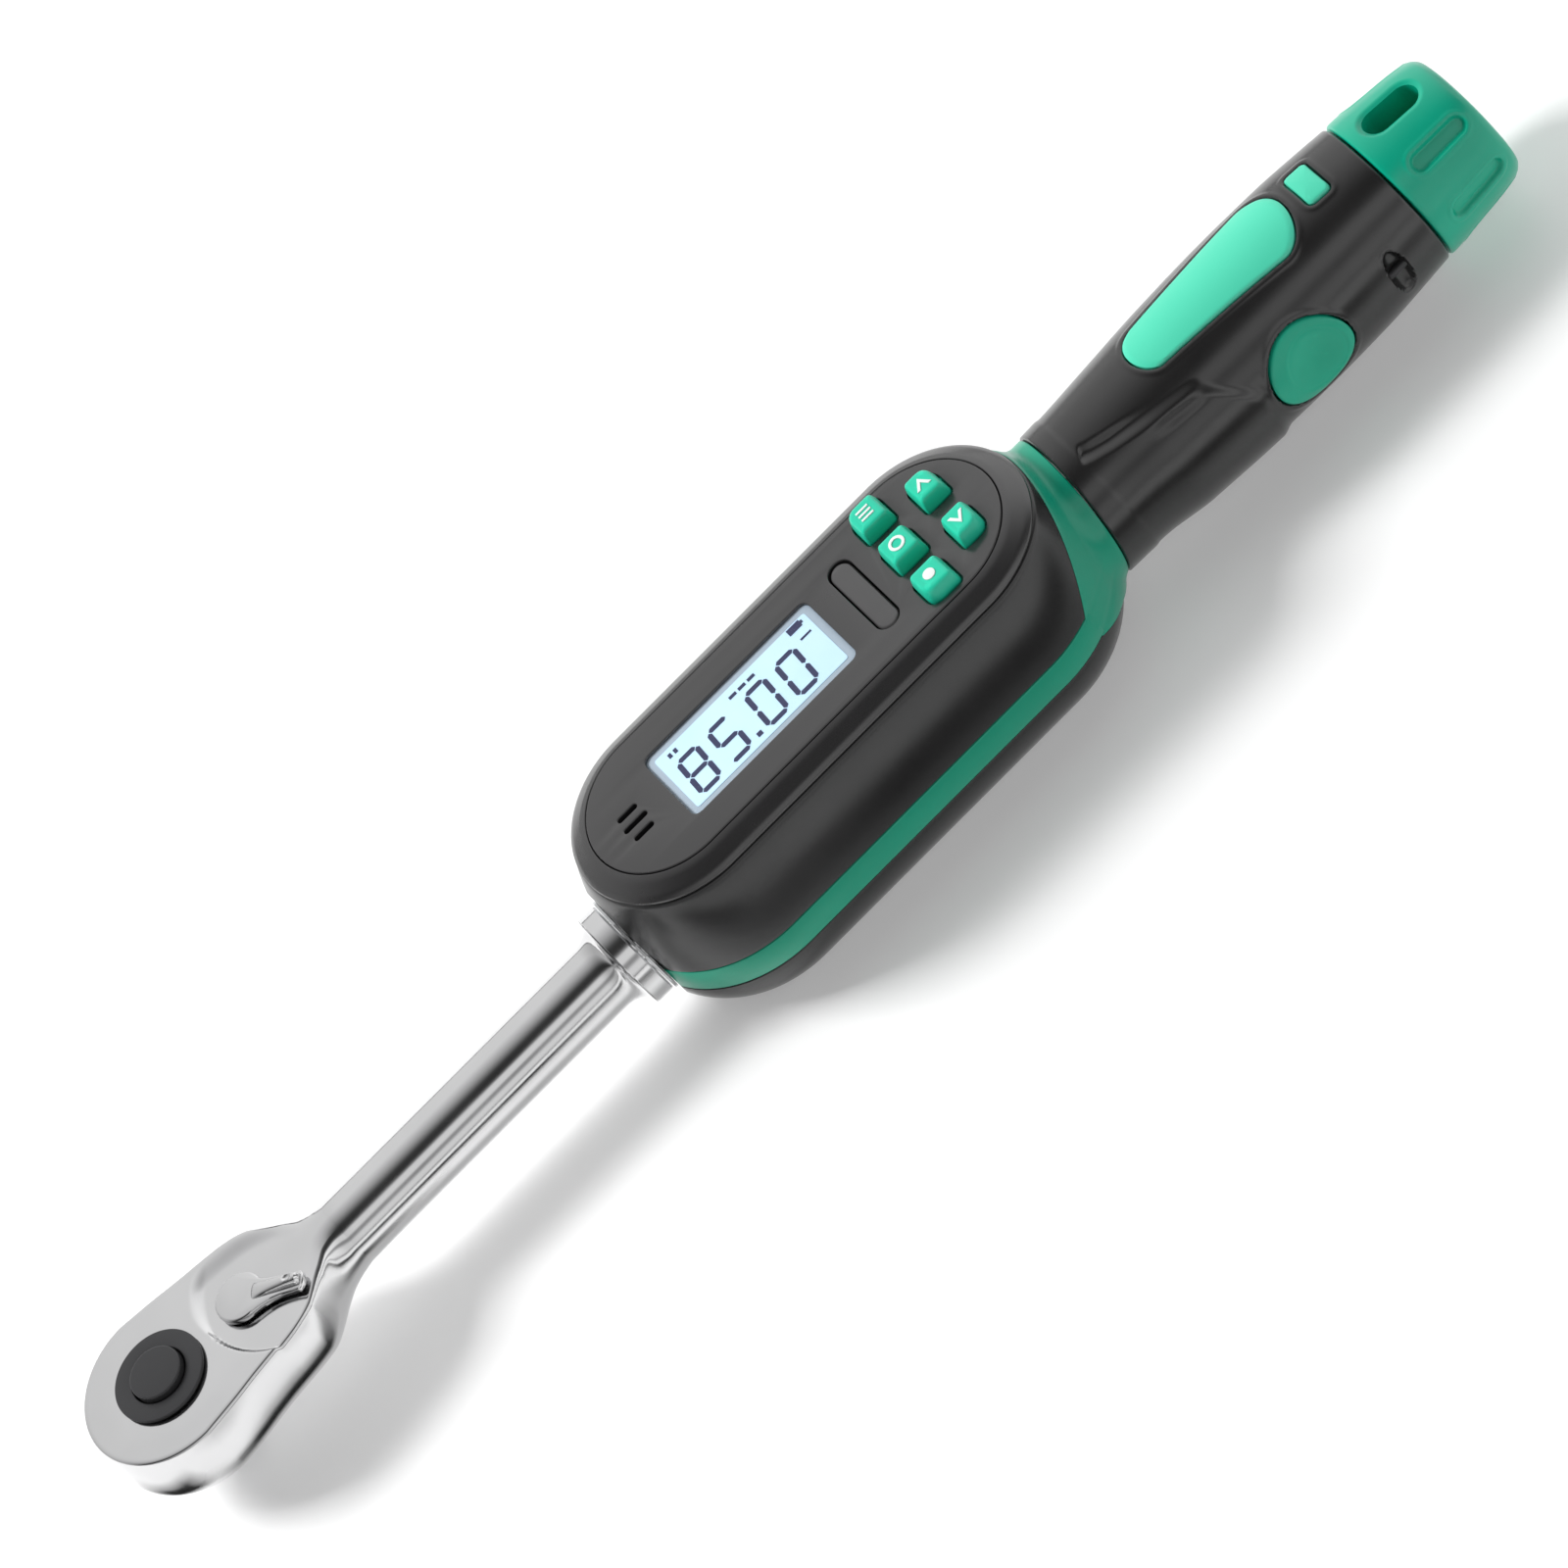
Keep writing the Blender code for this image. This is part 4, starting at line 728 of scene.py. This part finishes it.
for i, (x, y) in enumerate(SCREWS):
    screw = lathe(f"shell_screw_{i + 1}", rounded([(0, 10.0), (1.2, 9.6), (1.2, -13.7), (2.4, -13.7), (2.4, -15.0), (1.6, -15.6), (0, -15.7)], 0.25), (x, y, Z), steps=40)
    cross = plate(f"cross_{i}", [[(x + u, y + v) for u, v in ((0.25, 0.25), (0.25, 1.3), (-0.25, 1.3), (-0.25, 0.25), (-1.3, 0.25), (-1.3, -0.25), (-0.25, -0.25), (-0.25, -1.3), (0.25, -1.3), (0.25, -0.25), (1.3, -0.25), (1.3, 0.25))]], Z - 16.4, Z - 14.7)
    cut(screw, [cross])
    screw.data.materials.clear()
    screw.data.materials.append(steel)
    piece(screw, "root", "plain_steel", f"housing_screw_{i + 1}")

# Green stripe and the collar that draws the pod in to the handle


def reach(angle, x_of):
    """Distance from the long axis to the pod's surface in this direction, in the section at x_of(height)."""
    low_r, high_r = 0.0, 40.0
    for _ in range(34):
        mid = (low_r + high_r) / 2
        h, y = mid * sin(angle), abs(mid * cos(angle))
        inside = FLOOR <= h <= DECK
        if inside:
            r = POD_R - pod_inset(h)
            dx = x_of(h) - POD_X1
            inside = dx < r and y <= math.sqrt(max(r * r - dx * dx, 0.0))
        low_r, high_r = (mid, high_r) if inside else (low_r, mid)
    return low_r


def collar_end(height):
    return 238.0 + 0.13 * height


STEPS, ROUNDS = 26, 200
lanes = []
for i in range(ROUNDS):
    a = 2 * PI * (i + 0.5) / ROUNDS
    start_r = reach(a, band_end)
    start_x = band_end(start_r * sin(a))
    end_x = collar_end(15.95 * sin(a)) - 0.1
    lane = []
    for k in range(STEPS + 1):
        s = k / STEPS
        x = start_x + (end_x - start_x) * s
        wall = reach(a, lambda h: x)
        d = max(6.0 - abs(wall - 15.95), 0.0) / 6.0
        r = max(wall, 15.95) + d * d * 1.5 * (1 - s) ** 0.5
        lane.append([x, start_r if k == 0 else max(r, 14.6)])
    lanes.append(lane)
radius = np.array([[q[1] for q in lane] for lane in lanes])
for _ in range(3):  # soften the valley between the pod and the handle
    radius[:, 1:-1] = (np.roll(radius, 1, 0)[:, 1:-1] + np.roll(radius, -1, 0)[:, 1:-1] + 2 * radius[:, 1:-1] + radius[:, :-2] + radius[:, 2:]) / 6
collar_rows = []
for k in range(STEPS + 1):
    row = []
    for i in range(ROUNDS):
        a = 2 * PI * (i + 0.5) / ROUNDS
        x, r = lanes[i][k][0], radius[i][k]
        if k == STEPS:
            r -= 0.2
        row.append((x, r * cos(a), Z + r * sin(a)))
    collar_rows.append(row)
edge_in, edge_out = [], []
for i in range(ROUNDS):
    a = 2 * PI * (i + 0.5) / ROUNDS
    edge_out.append((lanes[i][-1][0], 13.4 * cos(a), Z + 13.4 * sin(a)))
    edge_in.append((lanes[i][0][0], 13.4 * cos(a), Z + 13.4 * sin(a)))
collar = grid("green_collar", collar_rows + [edge_out, edge_in], green, True, True, False, 36.0)
piece(collar, "root", "green_plastic", "green_band")
outer = [(x, y) for x, y in pod_outline(POD_R - 0.03, FLAT - 0.0, 224.9)]
hole = [(x, y) for x, y in pod_outline(POD_R - 2.5, FLAT + 2.5, 224.0)]
stripe_rows = []
for h, g in ((BAND_LOW, 0.22), (BAND_LOW + 0.06, 0.08), (BAND_LOW + 0.22, 0.0), (BAND_TOP - 0.22, 0.0), (BAND_TOP - 0.06, 0.08), (BAND_TOP, 0.22)):
    stripe_rows.append([(x, y, Z + h) for x, y in pod_outline(POD_R - g, FLAT + g, 224.9)])
for h in (BAND_TOP, BAND_LOW):
    stripe_rows.append([(x, y, Z + h) for x, y in pod_outline(POD_R - 2.5, FLAT + 2.5, 224.0)])
stripe = grid("green_stripe", stripe_rows, green, True, True, False, 36.0)
piece(stripe, "root", "green_plastic", "green_band")

# ------------------------------------------------------------------ bezel, display and keys

KEYS = {
    "key_left": (208.7, 11.6, 3.9, 4.0, (1, 0, 0, 0)),
    "key_middle": (208.7, 0.0, 3.9, 4.0, (0, 0, 0, 0)),
    "key_right": (208.7, -11.6, 3.9, 4.0, (0, 0, 0, 1)),
    "key_up": (220.0, 6.6, 3.35, 4.0, (0, 1, 0, 0)),
    "key_down": (220.0, -6.6, 3.35, 4.0, (0, 0, 1, 0)),
}


def rounded_outline(corners, radii, steps=8):
    """Closed polygon whose corners are replaced with arcs of these radii."""
    result = []
    n = len(corners)
    for i in range(n):
        a, b, c = (Vector(corners[(i + k - 1) % n]) for k in range(3))
        u, v = (a - b).normalized(), (c - b).normalized()
        cut_by = min(radii[i], (a - b).length * 0.48, (c - b).length * 0.48)
        p, q = b + u * cut_by, b + v * cut_by
        for k in range(steps + 1):
            t = k / steps
            w = (1 - t) ** 2 * p + 2 * t * (1 - t) * b + t * t * q
            result.append((w.x, w.y))
    return result


def key_shape(spec, grow):
    x, y, hx, hy, cuts = spec
    corners = [(x + sx * (hx + grow), y + sy * (hy + grow)) for sx, sy in ((-1, 1), (1, 1), (1, -1), (-1, -1))]
    radii = [max(3.0 + grow * 0.6 if c else 1.1 + grow * 0.4, 0.35) for c in cuts]
    return rounded_outline(corners, radii, 9)


window = rounded_outline([(146.0, -10.0), (146.0, 10.0), (189.0, 10.0), (189.0, -10.0)], [2.0] * 4, 8)
pill = [(197.6 + y, x) for x, y in stadium(-8.3, 8.3, 2.8, 24)]
vents = [stadium(135.5 - g, 139.1 + g, 0.62, 10) for g in (0.0, 0.5, 0.0)]
vents = [[(x, y + (i - 1) * 3.2) for x, y in v] for i, v in enumerate(vents)]
face_holes = [window, pill, *vents] + [key_shape(spec, 0.12) for spec in KEYS.values()]
face = plate("bezel_face", [stadium(POD_X0, POD_X1, 17.15, 60), *face_holes], Z + 21.6, Z + 23.3, facia, 0.24, 3)
piece(face, "root", "black_housing", "display_bezel")
skirt_r = rounded([(22.15, 20.0), (22.1, 20.35), (21.3, 21.15), (20.1, 21.9), (18.7, 22.72), (17.5, 23.16), (17.32, 22.95)], 0.5, 5)
skirt_rows = [[(x, y, Z + h) for x, y in pod_outline(r, 100.0)] for r, h in skirt_r + [(17.25, 21.7), (19.2, 20.0)]]
skirt = grid("bezel_skirt", skirt_rows, facia, True, True, False, 32.0)
piece(skirt, "root", "black_housing", "display_bezel")

pane_piece = plate("display_pane", [[(167.5 + (x - 167.5) * 0.986, y * 0.97) for x, y in window]], Z + 22.9, Z + 23.15, pane, 0.08)
piece(pane_piece, "root", "clear_window", "display_window")
frame_plate = plate("display_surround", [[(167.5 + (x - 167.5) * 1.04, y * 1.06) for x, y in window]], Z + 22.3, Z + 22.6, border, 0.04)
piece(frame_plate, "root", "liquid_crystal", "lcd_panel")
lit = plate("display_lit_area", [rounded_outline([(147.6, -8.3), (147.6, 8.3), (187.3, 8.3), (187.3, -8.3)], [0.7] * 4, 6)], Z + 22.55, Z + 22.72, glow, 0.03)
piece(lit, "root", "liquid_crystal", "lcd_panel")

SEGMENTS = {"8": "abcdefg", "5": "acdfg", "0": "abcdef"}


def bar(x0, y0, x1, y1, w):
    """A pointed display segment from one end to the other."""
    a, b = Vector((x0, y0)), Vector((x1, y1))
    d = (b - a).normalized()
    n = Vector((-d.y, d.x)) * w
    e = d * w * 0.9
    return [tuple(p) for p in (a, a + e + n, b - e + n, b, b - e - n, a + e - n)]


def digit(mark, x0, x1, y0, y1, w=0.5, g=0.22, lean=0.0):
    ym = (y0 + y1) / 2
    ends = {"a": (x0 + g, y1, x1 - g, y1), "g": (x0 + g, ym, x1 - g, ym), "d": (x0 + g, y0, x1 - g, y0), "b": (x1, y1 - g, x1, ym + g), "c": (x1, ym - g, x1, y0 + g), "f": (x0, y1 - g, x0, ym + g), "e": (x0, ym - g, x0, y0 + g)}
    return [[(x + lean * (y - y0), y) for x, y in bar(*ends[s], w)] for s in SEGMENTS[mark]]


marks = []
for mark, x0, x1 in (("8", 150.0, 154.9), ("5", 158.0, 162.9), ("0", 167.8, 172.7), ("0", 175.8, 180.7)):
    marks += digit(mark, x0 + 0.1, x1 - 0.1, -6.5, 3.5, 0.56, 0.2, 0.05)
marks.append([(x, y) for x, y in ((164.9, -6.7), (166.1, -6.7), (166.1, -5.5), (164.9, -5.5))])
marks.append([(182.4, 6.2), (185.6, 6.2), (185.6, 6.7), (186.1, 6.7), (186.1, 7.5), (185.6, 7.5), (185.6, 8.0), (182.4, 8.0)][::-1])
for k in range(3):
    marks.append([(166.0 + k * 2.4, 5.6), (167.8 + k * 2.4, 5.6), (167.8 + k * 2.4, 6.4), (166.0 + k * 2.4, 6.4)])
marks += [[(150.2, 5.8), (151.0, 5.8), (151.0, 7.0), (150.2, 7.0)], [(151.6, 5.8), (152.4, 5.8), (152.4, 7.0), (151.6, 7.0)]]
marks += [[(183.3, 3.4), (186.0, 3.4), (186.0, 3.9), (183.3, 3.9)]]
figures = plate("display_segments", marks, Z + 22.7, Z + 22.79, segment)
piece(figures, "root", "liquid_crystal", "lcd_panel")

strip = plate("light_bar", [[(197.6 + (x - 197.6) * 0.9, y * 0.975) for x, y in pill]], Z + 20.0, Z + 23.05, lens_dark, 0.7, 5)
piece(strip, "root", "smoked_lens", "led_light_bar")

for name, spec in KEYS.items():
    x, y, hx, hy, cuts = spec
    rows = []
    for h, g in ((19.8, 0.45), (21.1, 0.45), (21.2, -0.3), (23.3, -0.2), (24.4, -0.28), (25.4, -0.48), (26.0, -0.66), (26.3, -0.82), (26.5, -1.05), (26.58, -1.4), (26.6, -1.8)):
        rows.append([(px, py, Z + h) for px, py in key_shape(spec, g)])
    cap_piece = grid(name + "_cap", rows, key_green, True, False, True, 50.0)
    body = name + "_body"
    piece(cap_piece, body, "mint_keys", name)
    z0, z1 = Z + 26.45, Z + 26.78
    if name == "key_up":
        signs = [[(x - 1.8, y - 1.3), (x + 0.0, y + 1.55), (x + 1.8, y - 1.3), (x + 1.0, y - 1.3), (x + 0.0, y + 0.35), (x - 1.0, y - 1.3)]]
    elif name == "key_down":
        signs = [[(x - 1.8, y + 1.3), (x + 0.0, y - 1.55), (x + 1.8, y + 1.3), (x + 1.0, y + 1.3), (x + 0.0, y - 0.35), (x - 1.0, y + 1.3)]]
    elif name == "key_left":
        signs = [[(x - 1.5, y + c), (x + 1.5, y + c), (x + 1.5, y + c + 0.5), (x - 1.5, y + c + 0.5)] for c in (-1.4, -0.25, 0.9)]
    elif name == "key_middle":
        signs = [circle(x, y, 1.75, 40), circle(x, y, 1.1, 40)]
    else:
        signs = [circle(x, y, 1.3, 40)]
    sign = plate(name + "_sign", signs, z0, z1, ink_white, 0.05)
    piece(sign, body, "mint_keys")

# ------------------------------------------------------------------ rubber grip and its inlays

grip_curve = pchip((232.0, 244.0, 258.0, 274.0, 290.0, 304.0, 314.0, 321.5), (15.95, 16.2, 17.0, 17.9, 18.25, 18.05, 17.45, 16.85))
GRIP_END = 321.5


def long_shape(grow=0.0):
    rear = [(298.0 + (6.9 + grow) * sin(a), -(8.6 + grow) * cos(a)) for a in np.linspace(0, PI, 37)]
    front = [(268.4 - (4.6 + grow) * sin(a), (6.1 + grow) * cos(a)) for a in np.linspace(0, PI, 31)]
    sides = [(298.0 + (268.4 - 298.0) * t, (8.6 + (6.1 - 8.6) * t) + grow) for t in np.linspace(0, 1, 20)[1:-1]]
    return rear + sides + front + [(x, -y) for x, y in sides[::-1]]


def short_shape(grow=0.0):
    x0, x1, w = 308.2 - grow, 313.6 + grow, 4.9 + grow
    return rounded_outline([(x0, -w), (x0, w), (x1, w), (x1, -w)], [1.3 + grow] * 4, 8)


def outline_distance(points, outline):
    """Signed distance of 2D points to a closed outline, negative inside."""
    p = np.asarray(points, float)
    a = np.asarray(outline, float)
    b = np.roll(a, -1, 0)
    ab = b - a
    best = np.full(len(p), 1e9)
    inside = np.zeros(len(p), bool)
    for i in range(len(a)):
        ap = p - a[i]
        t = np.clip((ap @ ab[i]) / max(ab[i] @ ab[i], 1e-12), 0, 1)
        best = np.minimum(best, np.hypot(*(ap - t[:, None] * ab[i]).T))
        y0, y1 = a[i][1], b[i][1]
        crosses = (y0 > p[:, 1]) != (y1 > p[:, 1])
        if abs(y1 - y0) > 1e-12:
            x_at = a[i][0] + (p[:, 1] - y0) / (y1 - y0) * ab[i][0]
            inside ^= crosses & (p[:, 0] < x_at)
    return np.where(inside, -best, best)


def path_distance(x, y, path):
    """Distance to an open path and how far along it the nearest point lies, from 0 to 1."""
    best = np.full(x.shape, 1e9)
    along = np.zeros(x.shape)
    n = len(path) - 1
    for i in range(n):
        ax, ay = path[i]
        bx, by = path[i + 1]
        dx, dy = bx - ax, by - ay
        t = np.clip(((x - ax) * dx + (y - ay) * dy) / (dx * dx + dy * dy), 0, 1)
        d = np.hypot(x - ax - t * dx, y - ay - t * dy)
        near = d < best
        best = np.where(near, d, best)
        along = np.where(near, (i + t) / n, along)
    return best, along


def soft(t):
    t = np.clip(t, 0, 1)
    return t * t * (3 - 2 * t)


NX, NA = ((260, 460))
angle = 2 * PI * (np.arange(NA) + 0.5) / NA  # from +Z towards -Y
s_line = np.linspace(0, 1, NX)
A, S = np.meshgrid(angle, s_line)
start = 238.15 + 0.13 * 15.95 * np.cos(A)
X = start + (GRIP_END - start) * S
base = np.vectorize(grip_curve)(X)
R = base.copy()
fold = np.degrees(np.where(A > PI, 2 * PI - A, A))  # 0 on top, 180 below, the same on both sides
arc = np.radians(fold) * 17.0
# Ring step just behind the collar
R += 0.22 * (1 - soft((X - 243.6) / 1.3))
# Raised thumb pads on both sides, from the collar to a rounded end
edge_at = pchip((236, 244.6, 250, 256, 262, 268, 273, 285), (12, 23.6, 29.5, 34.5, 38.5, 41.5, 43.5, 46))
EDGE = np.radians(np.vectorize(edge_at)(X) + np.where(A > PI, 26.0, 0.0)) * 17.0
side_in = arc - EDGE
end_in = 277.5 - 7.5 * (1 - soft((fold - 42.0) / 42.0)) - X
both = -np.logaddexp(-side_in / 0.9, -end_in / 0.9) * 0.9
pad = soft((both + 1.0) / 3.2) * soft((X - 246.0) / 12.0)
low_end = soft((150.0 - fold) / 14.0)
R += 0.85 * pad * low_end
# Finger groove that starts the pad's edge, and the shorter one inside it
d, t = path_distance(X, arc, [(244.4, rad(21.5) * 17), (246.5, rad(25.0) * 17), (250.5, rad(29.5) * 17), (256.5, rad(34.6) * 17), (263.0, rad(39.0) * 17)])
near_side = A < PI
R -= np.where(near_side, 0.75 * (1 - soft(d / 2.6)) * soft(t / 0.08) * (1 - soft((t - 0.45) / 0.55)), 0.0)
d, t = path_distance(X, arc, [(255.5, rad(47.0) * 17), (261.0, rad(48.6) * 17), (266.0, rad(50.0) * 17), (271.0, rad(51.0) * 17)])
R -= np.where(near_side, 0.28 * (1 - soft(d / 2.0)) * soft(t / 0.4) * (1 - soft((t - 0.7) / 0.3)), 0.0)
# Seats of the inlays: a thin dark channel round each, inside a slightly raised rim
Y_ = -base * np.sin(A)
Z_ = base * np.cos(A)


def seat(mask, px, py, outline, deep=1.15, rim=0.13):
    global R
    d = np.full(X.shape, 9.0)
    d[mask] = outline_distance(np.stack([px[mask], py[mask]], 1), outline)
    R = R - deep * (1 - soft((d + 0.12) / 0.5)) + rim * np.exp(-((d - 1.0) / 0.45) ** 2)


top = Z_ > 11.5
seat(top & (X > 260) & (X < 308), X, Y_, long_shape())
seat(top & (X > 305) & (X < 317), X, Y_, short_shape())
for side in (-1, 1):
    mask = (Y_ * side > 12.0) & (X > 274) & (X < 302)
    seat(mask, X, Z_, circle(288.3, 0, 9.4, 96), 2.9)
# Lens-shaped recess for the wrist strap, on the -Y side
lens = 1 - ((X - 311.7 - 0.02 * Z_) / 2.25) ** 2 - (np.abs(Z_) / 5.9) ** 2.4
R -= np.where((Y_ < -12) & (lens > 0), 2.3 * np.sqrt(np.clip(lens, 0, 1)), 0.0)
R += np.where(Y_ < -12, 0.04 * np.exp(-((lens + 0.25) / 0.2) ** 2), 0.0)
# Rounded ends
R -= 0.32 * (1 - np.sqrt(np.clip(1 - (1 - np.clip((X - start) / 0.5, 0, 1)) ** 2, 0, 1)))
R -= 0.3 * (1 - np.sqrt(np.clip(1 - (1 - np.clip((GRIP_END - X) / 0.6, 0, 1)) ** 2, 0, 1)))
rows = [[(start[0][j], -13.3 * sin(angle[j]), Z + 13.3 * cos(angle[j])) for j in range(NA)]]
for i in range(NX):
    rows.append([(X[i][j], -R[i][j] * sin(angle[j]), Z + R[i][j] * cos(angle[j])) for j in range(NA)])
rows.append([(GRIP_END, -13.3 * sin(a), Z + 13.3 * cos(a)) for a in angle])
grip = grid("grip_rubber", rows, rubber, True, True, False, 50.0)
piece(grip, "root", "black_rubber", "grip_sleeve")


def inlay(name, outline, centre, direction, crown, material, slot_name, node, rings=26, bottom=14.9, dish=None):
    """A pad that follows the grip's surface: rings shrink from the outline to its centre."""
    o = np.array(outline)
    c = np.array(centre)
    rows = []
    for s in list(np.linspace(0, 1, rings)[1:]):
        row = []
        for p in o:
            q = c + (p - c) * s
            surface = math.sqrt(max(grip_curve(q[0]) ** 2 - q[1] ** 2, 1.0))
            edge = (1 - s) * float(np.hypot(*(p - c)))
            lift = crown - 0.34 * (1 - math.sqrt(1 - (1 - min(edge / 0.55, 1.0)) ** 2))
            if dish is not None:
                lift -= dish(q[0] - c[0], q[1] - c[1])
            row.append((q[0], q[1], surface + lift))
        rows.append(row)
    rows.append([(p[0], p[1], bottom) for p in o])
    placed = []
    for row in rows:
        if direction == "Z":
            placed.append([(x, y, Z + h) for x, y, h in row])
        else:
            sign = -1 if direction == "-Y" else 1
            placed.append([(x, sign * h, Z + y) for x, y, h in row])
    made = grid(name, placed, material, True, False, True, 40.0)
    return piece(made, "root", slot_name, node)


inlay("long_pad", long_shape(-0.06), (284.0, 0.0), "Z", 0.28, mint, "mint_rubber", "grip_inlay_long", 30)
inlay("short_pad", short_shape(-0.06), (310.9, 0.0), "Z", 0.25, mint, "mint_rubber", "grip_inlay_short", 16)


def finger_dish(dx, dy):
    """A shallow bowl set towards one side, with a fine crease at its rim."""
    d = math.hypot((dx - 1.0) / 6.6, (dy + 0.3) / 7.4)
    return 2.0 * (1 - smooth(d)) ** 0.8 + 0.25 * smooth((1.06 - d) / 0.12)


for side, name, node in (("-Y", "near_round_pad", "grip_inlay_near"), ("Y", "far_round_pad", "grip_inlay_far")):
    inlay(name, circle(288.3, 0, 9.34, 120), (288.3, 0.0), side, 0.16, mint_deep, "mint_rubber", node, 36, 14.9, finger_dish)

loop = lathe("strap_loop_bar", rounded([(0, 307.9), (0.8, 307.9), (0.8, 315.5), (0, 315.5)], 0.2), (0, -15.9, Z), "X", 32, dark_steel)
piece(loop, "root", "plain_steel", "strap_bar")

# ------------------------------------------------------------------ screw cap

cap_curve = pchip((322.0, 322.35, 323.0, 327.0, 331.0, 335.0, 338.0, 340.4, 341.8, 342.7, 343.2, 343.4), (16.45, 16.82, 16.92, 16.68, 16.3, 15.95, 15.6, 15.1, 14.6, 13.9, 13.2, 12.3))
NX, NA = ((150, 480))
angle = 2 * PI * (np.arange(NA) + 0.5) / NA
xs = np.concatenate([np.linspace(322.0, 323.2, 8)[:-1], np.linspace(323.2, 341.0, NX), np.linspace(341.0, 343.4, 16)[1:]])
A, X = np.meshgrid(angle, xs)
base = np.vectorize(cap_curve)(X)
R = base.copy()
for i in range(8):
    if i in (0, 4):
        continue
    a = i * PI / 4
    off = (A - a + PI) % (2 * PI) - PI
    across = np.abs(off) * 16.3
    longways = np.maximum(np.abs(X - 333.4) - 4.7, 0)
    d = 2.0 - np.hypot(across, longways)
    R -= 1.15 * soft((d + 0.35) / 0.95)
    R += 0.12 * np.exp(-((d + 0.85) / 0.45) ** 2)
slot_plan = [(x, y) for x, y in stadium(332.0 - 3.2, 332.0 + 3.2, 3.2, 24)]
for lift in (1, -1):
    mask = (np.cos(A) * lift > 0.6) & (X > 322.5)
    d = np.full(X.shape, 9.0)
    d[mask] = outline_distance(np.stack([X[mask], (-base * np.sin(A))[mask]], 1), slot_plan)
    R -= 0.75 * (1 - soft((d + 0.2) / 1.5)) ** 1.3
inner_profile = [(0.001, 320.0), (7.6, 320.0), (7.6, 311.0), (10.4, 311.0), (10.4, 317.3), (9.1, 317.3), (9.1, 319.3), (10.4, 319.3), (10.4, 322.0)]
rows = [[(x, -r * sin(a), Z + r * cos(a)) for a in angle] for r, x in inner_profile]
for i in range(len(xs)):
    rows.append([(xs[i], -R[i][j] * sin(angle[j]), Z + R[i][j] * cos(angle[j])) for j in range(NA)])
rows.append([(343.4, -11.0 * sin(a), Z + 11.0 * cos(a)) for a in angle])
rows.append([(343.0, -10.6 * sin(a), Z + 10.6 * cos(a)) for a in angle])
rows.append([(343.0, -0.001 * sin(a), Z + 0.001 * cos(a)) for a in angle])
screw_cap = grid("screw_cap", rows, None, True, False, False, 40.0, 4e-6)
bm = bmesh.new()
bm.from_mesh(screw_cap.data)
bmesh.ops.holes_fill(bm, edges=[e for e in bm.edges if e.is_boundary], sides=0)
bmesh.ops.recalc_face_normals(bm, faces=bm.faces)
bm.to_mesh(screw_cap.data)
bm.free()
cut(screw_cap, [plate("slot_cutter", [slot_plan], Z - 24.0, Z + 24.0)], "DIFFERENCE", 40.0)
screw_cap.data.materials.clear()
screw_cap.data.materials.append(cap_green)
piece(screw_cap, "cap", "green_plastic", "battery_cap")

# ------------------------------------------------------------------ inner parts keep their meshes

FINISH = {
    "plain_steel": steel,
    "polished_chrome": chrome,
    "blackened_steel": dark_steel,
    "black_rubber": seal,
    "light_diffuser": diffuser,
    "contact_brass": brass,
    "board_laminate": board,
    "black_resin": resin,
    "lead_red": lead_red,
    "lead_black": lead_black,
    "cell_wrap_dark": cell_dark,
    "cell_wrap_copper": cell_copper,
    "black_housing": housing,
    "green_plastic": green,
    "mint_rubber": mint,
    "mint_keys": key_green,
    "clear_window": pane,
    "smoked_lens": lens_dark,
    "liquid_crystal": border,
}
slots = {entry["node"]: entry["material_slot"] for entry in frame["record"]["subparts"]}
for name, node in frame["nodes"].items():
    node.data.materials.clear()
    node.data.materials.append(FINISH[slots[name]])
for name, width in (("drive_anvil", 0.12), ("contact_plug", 0.15), ("snap_ring", 0.08), ("neck_washer", 0.1)):
    edge = frame["nodes"][name].modifiers.new("edge", "BEVEL")
    edge.width = width * MM
    edge.segments = 2
    edge.limit_method = "ANGLE"
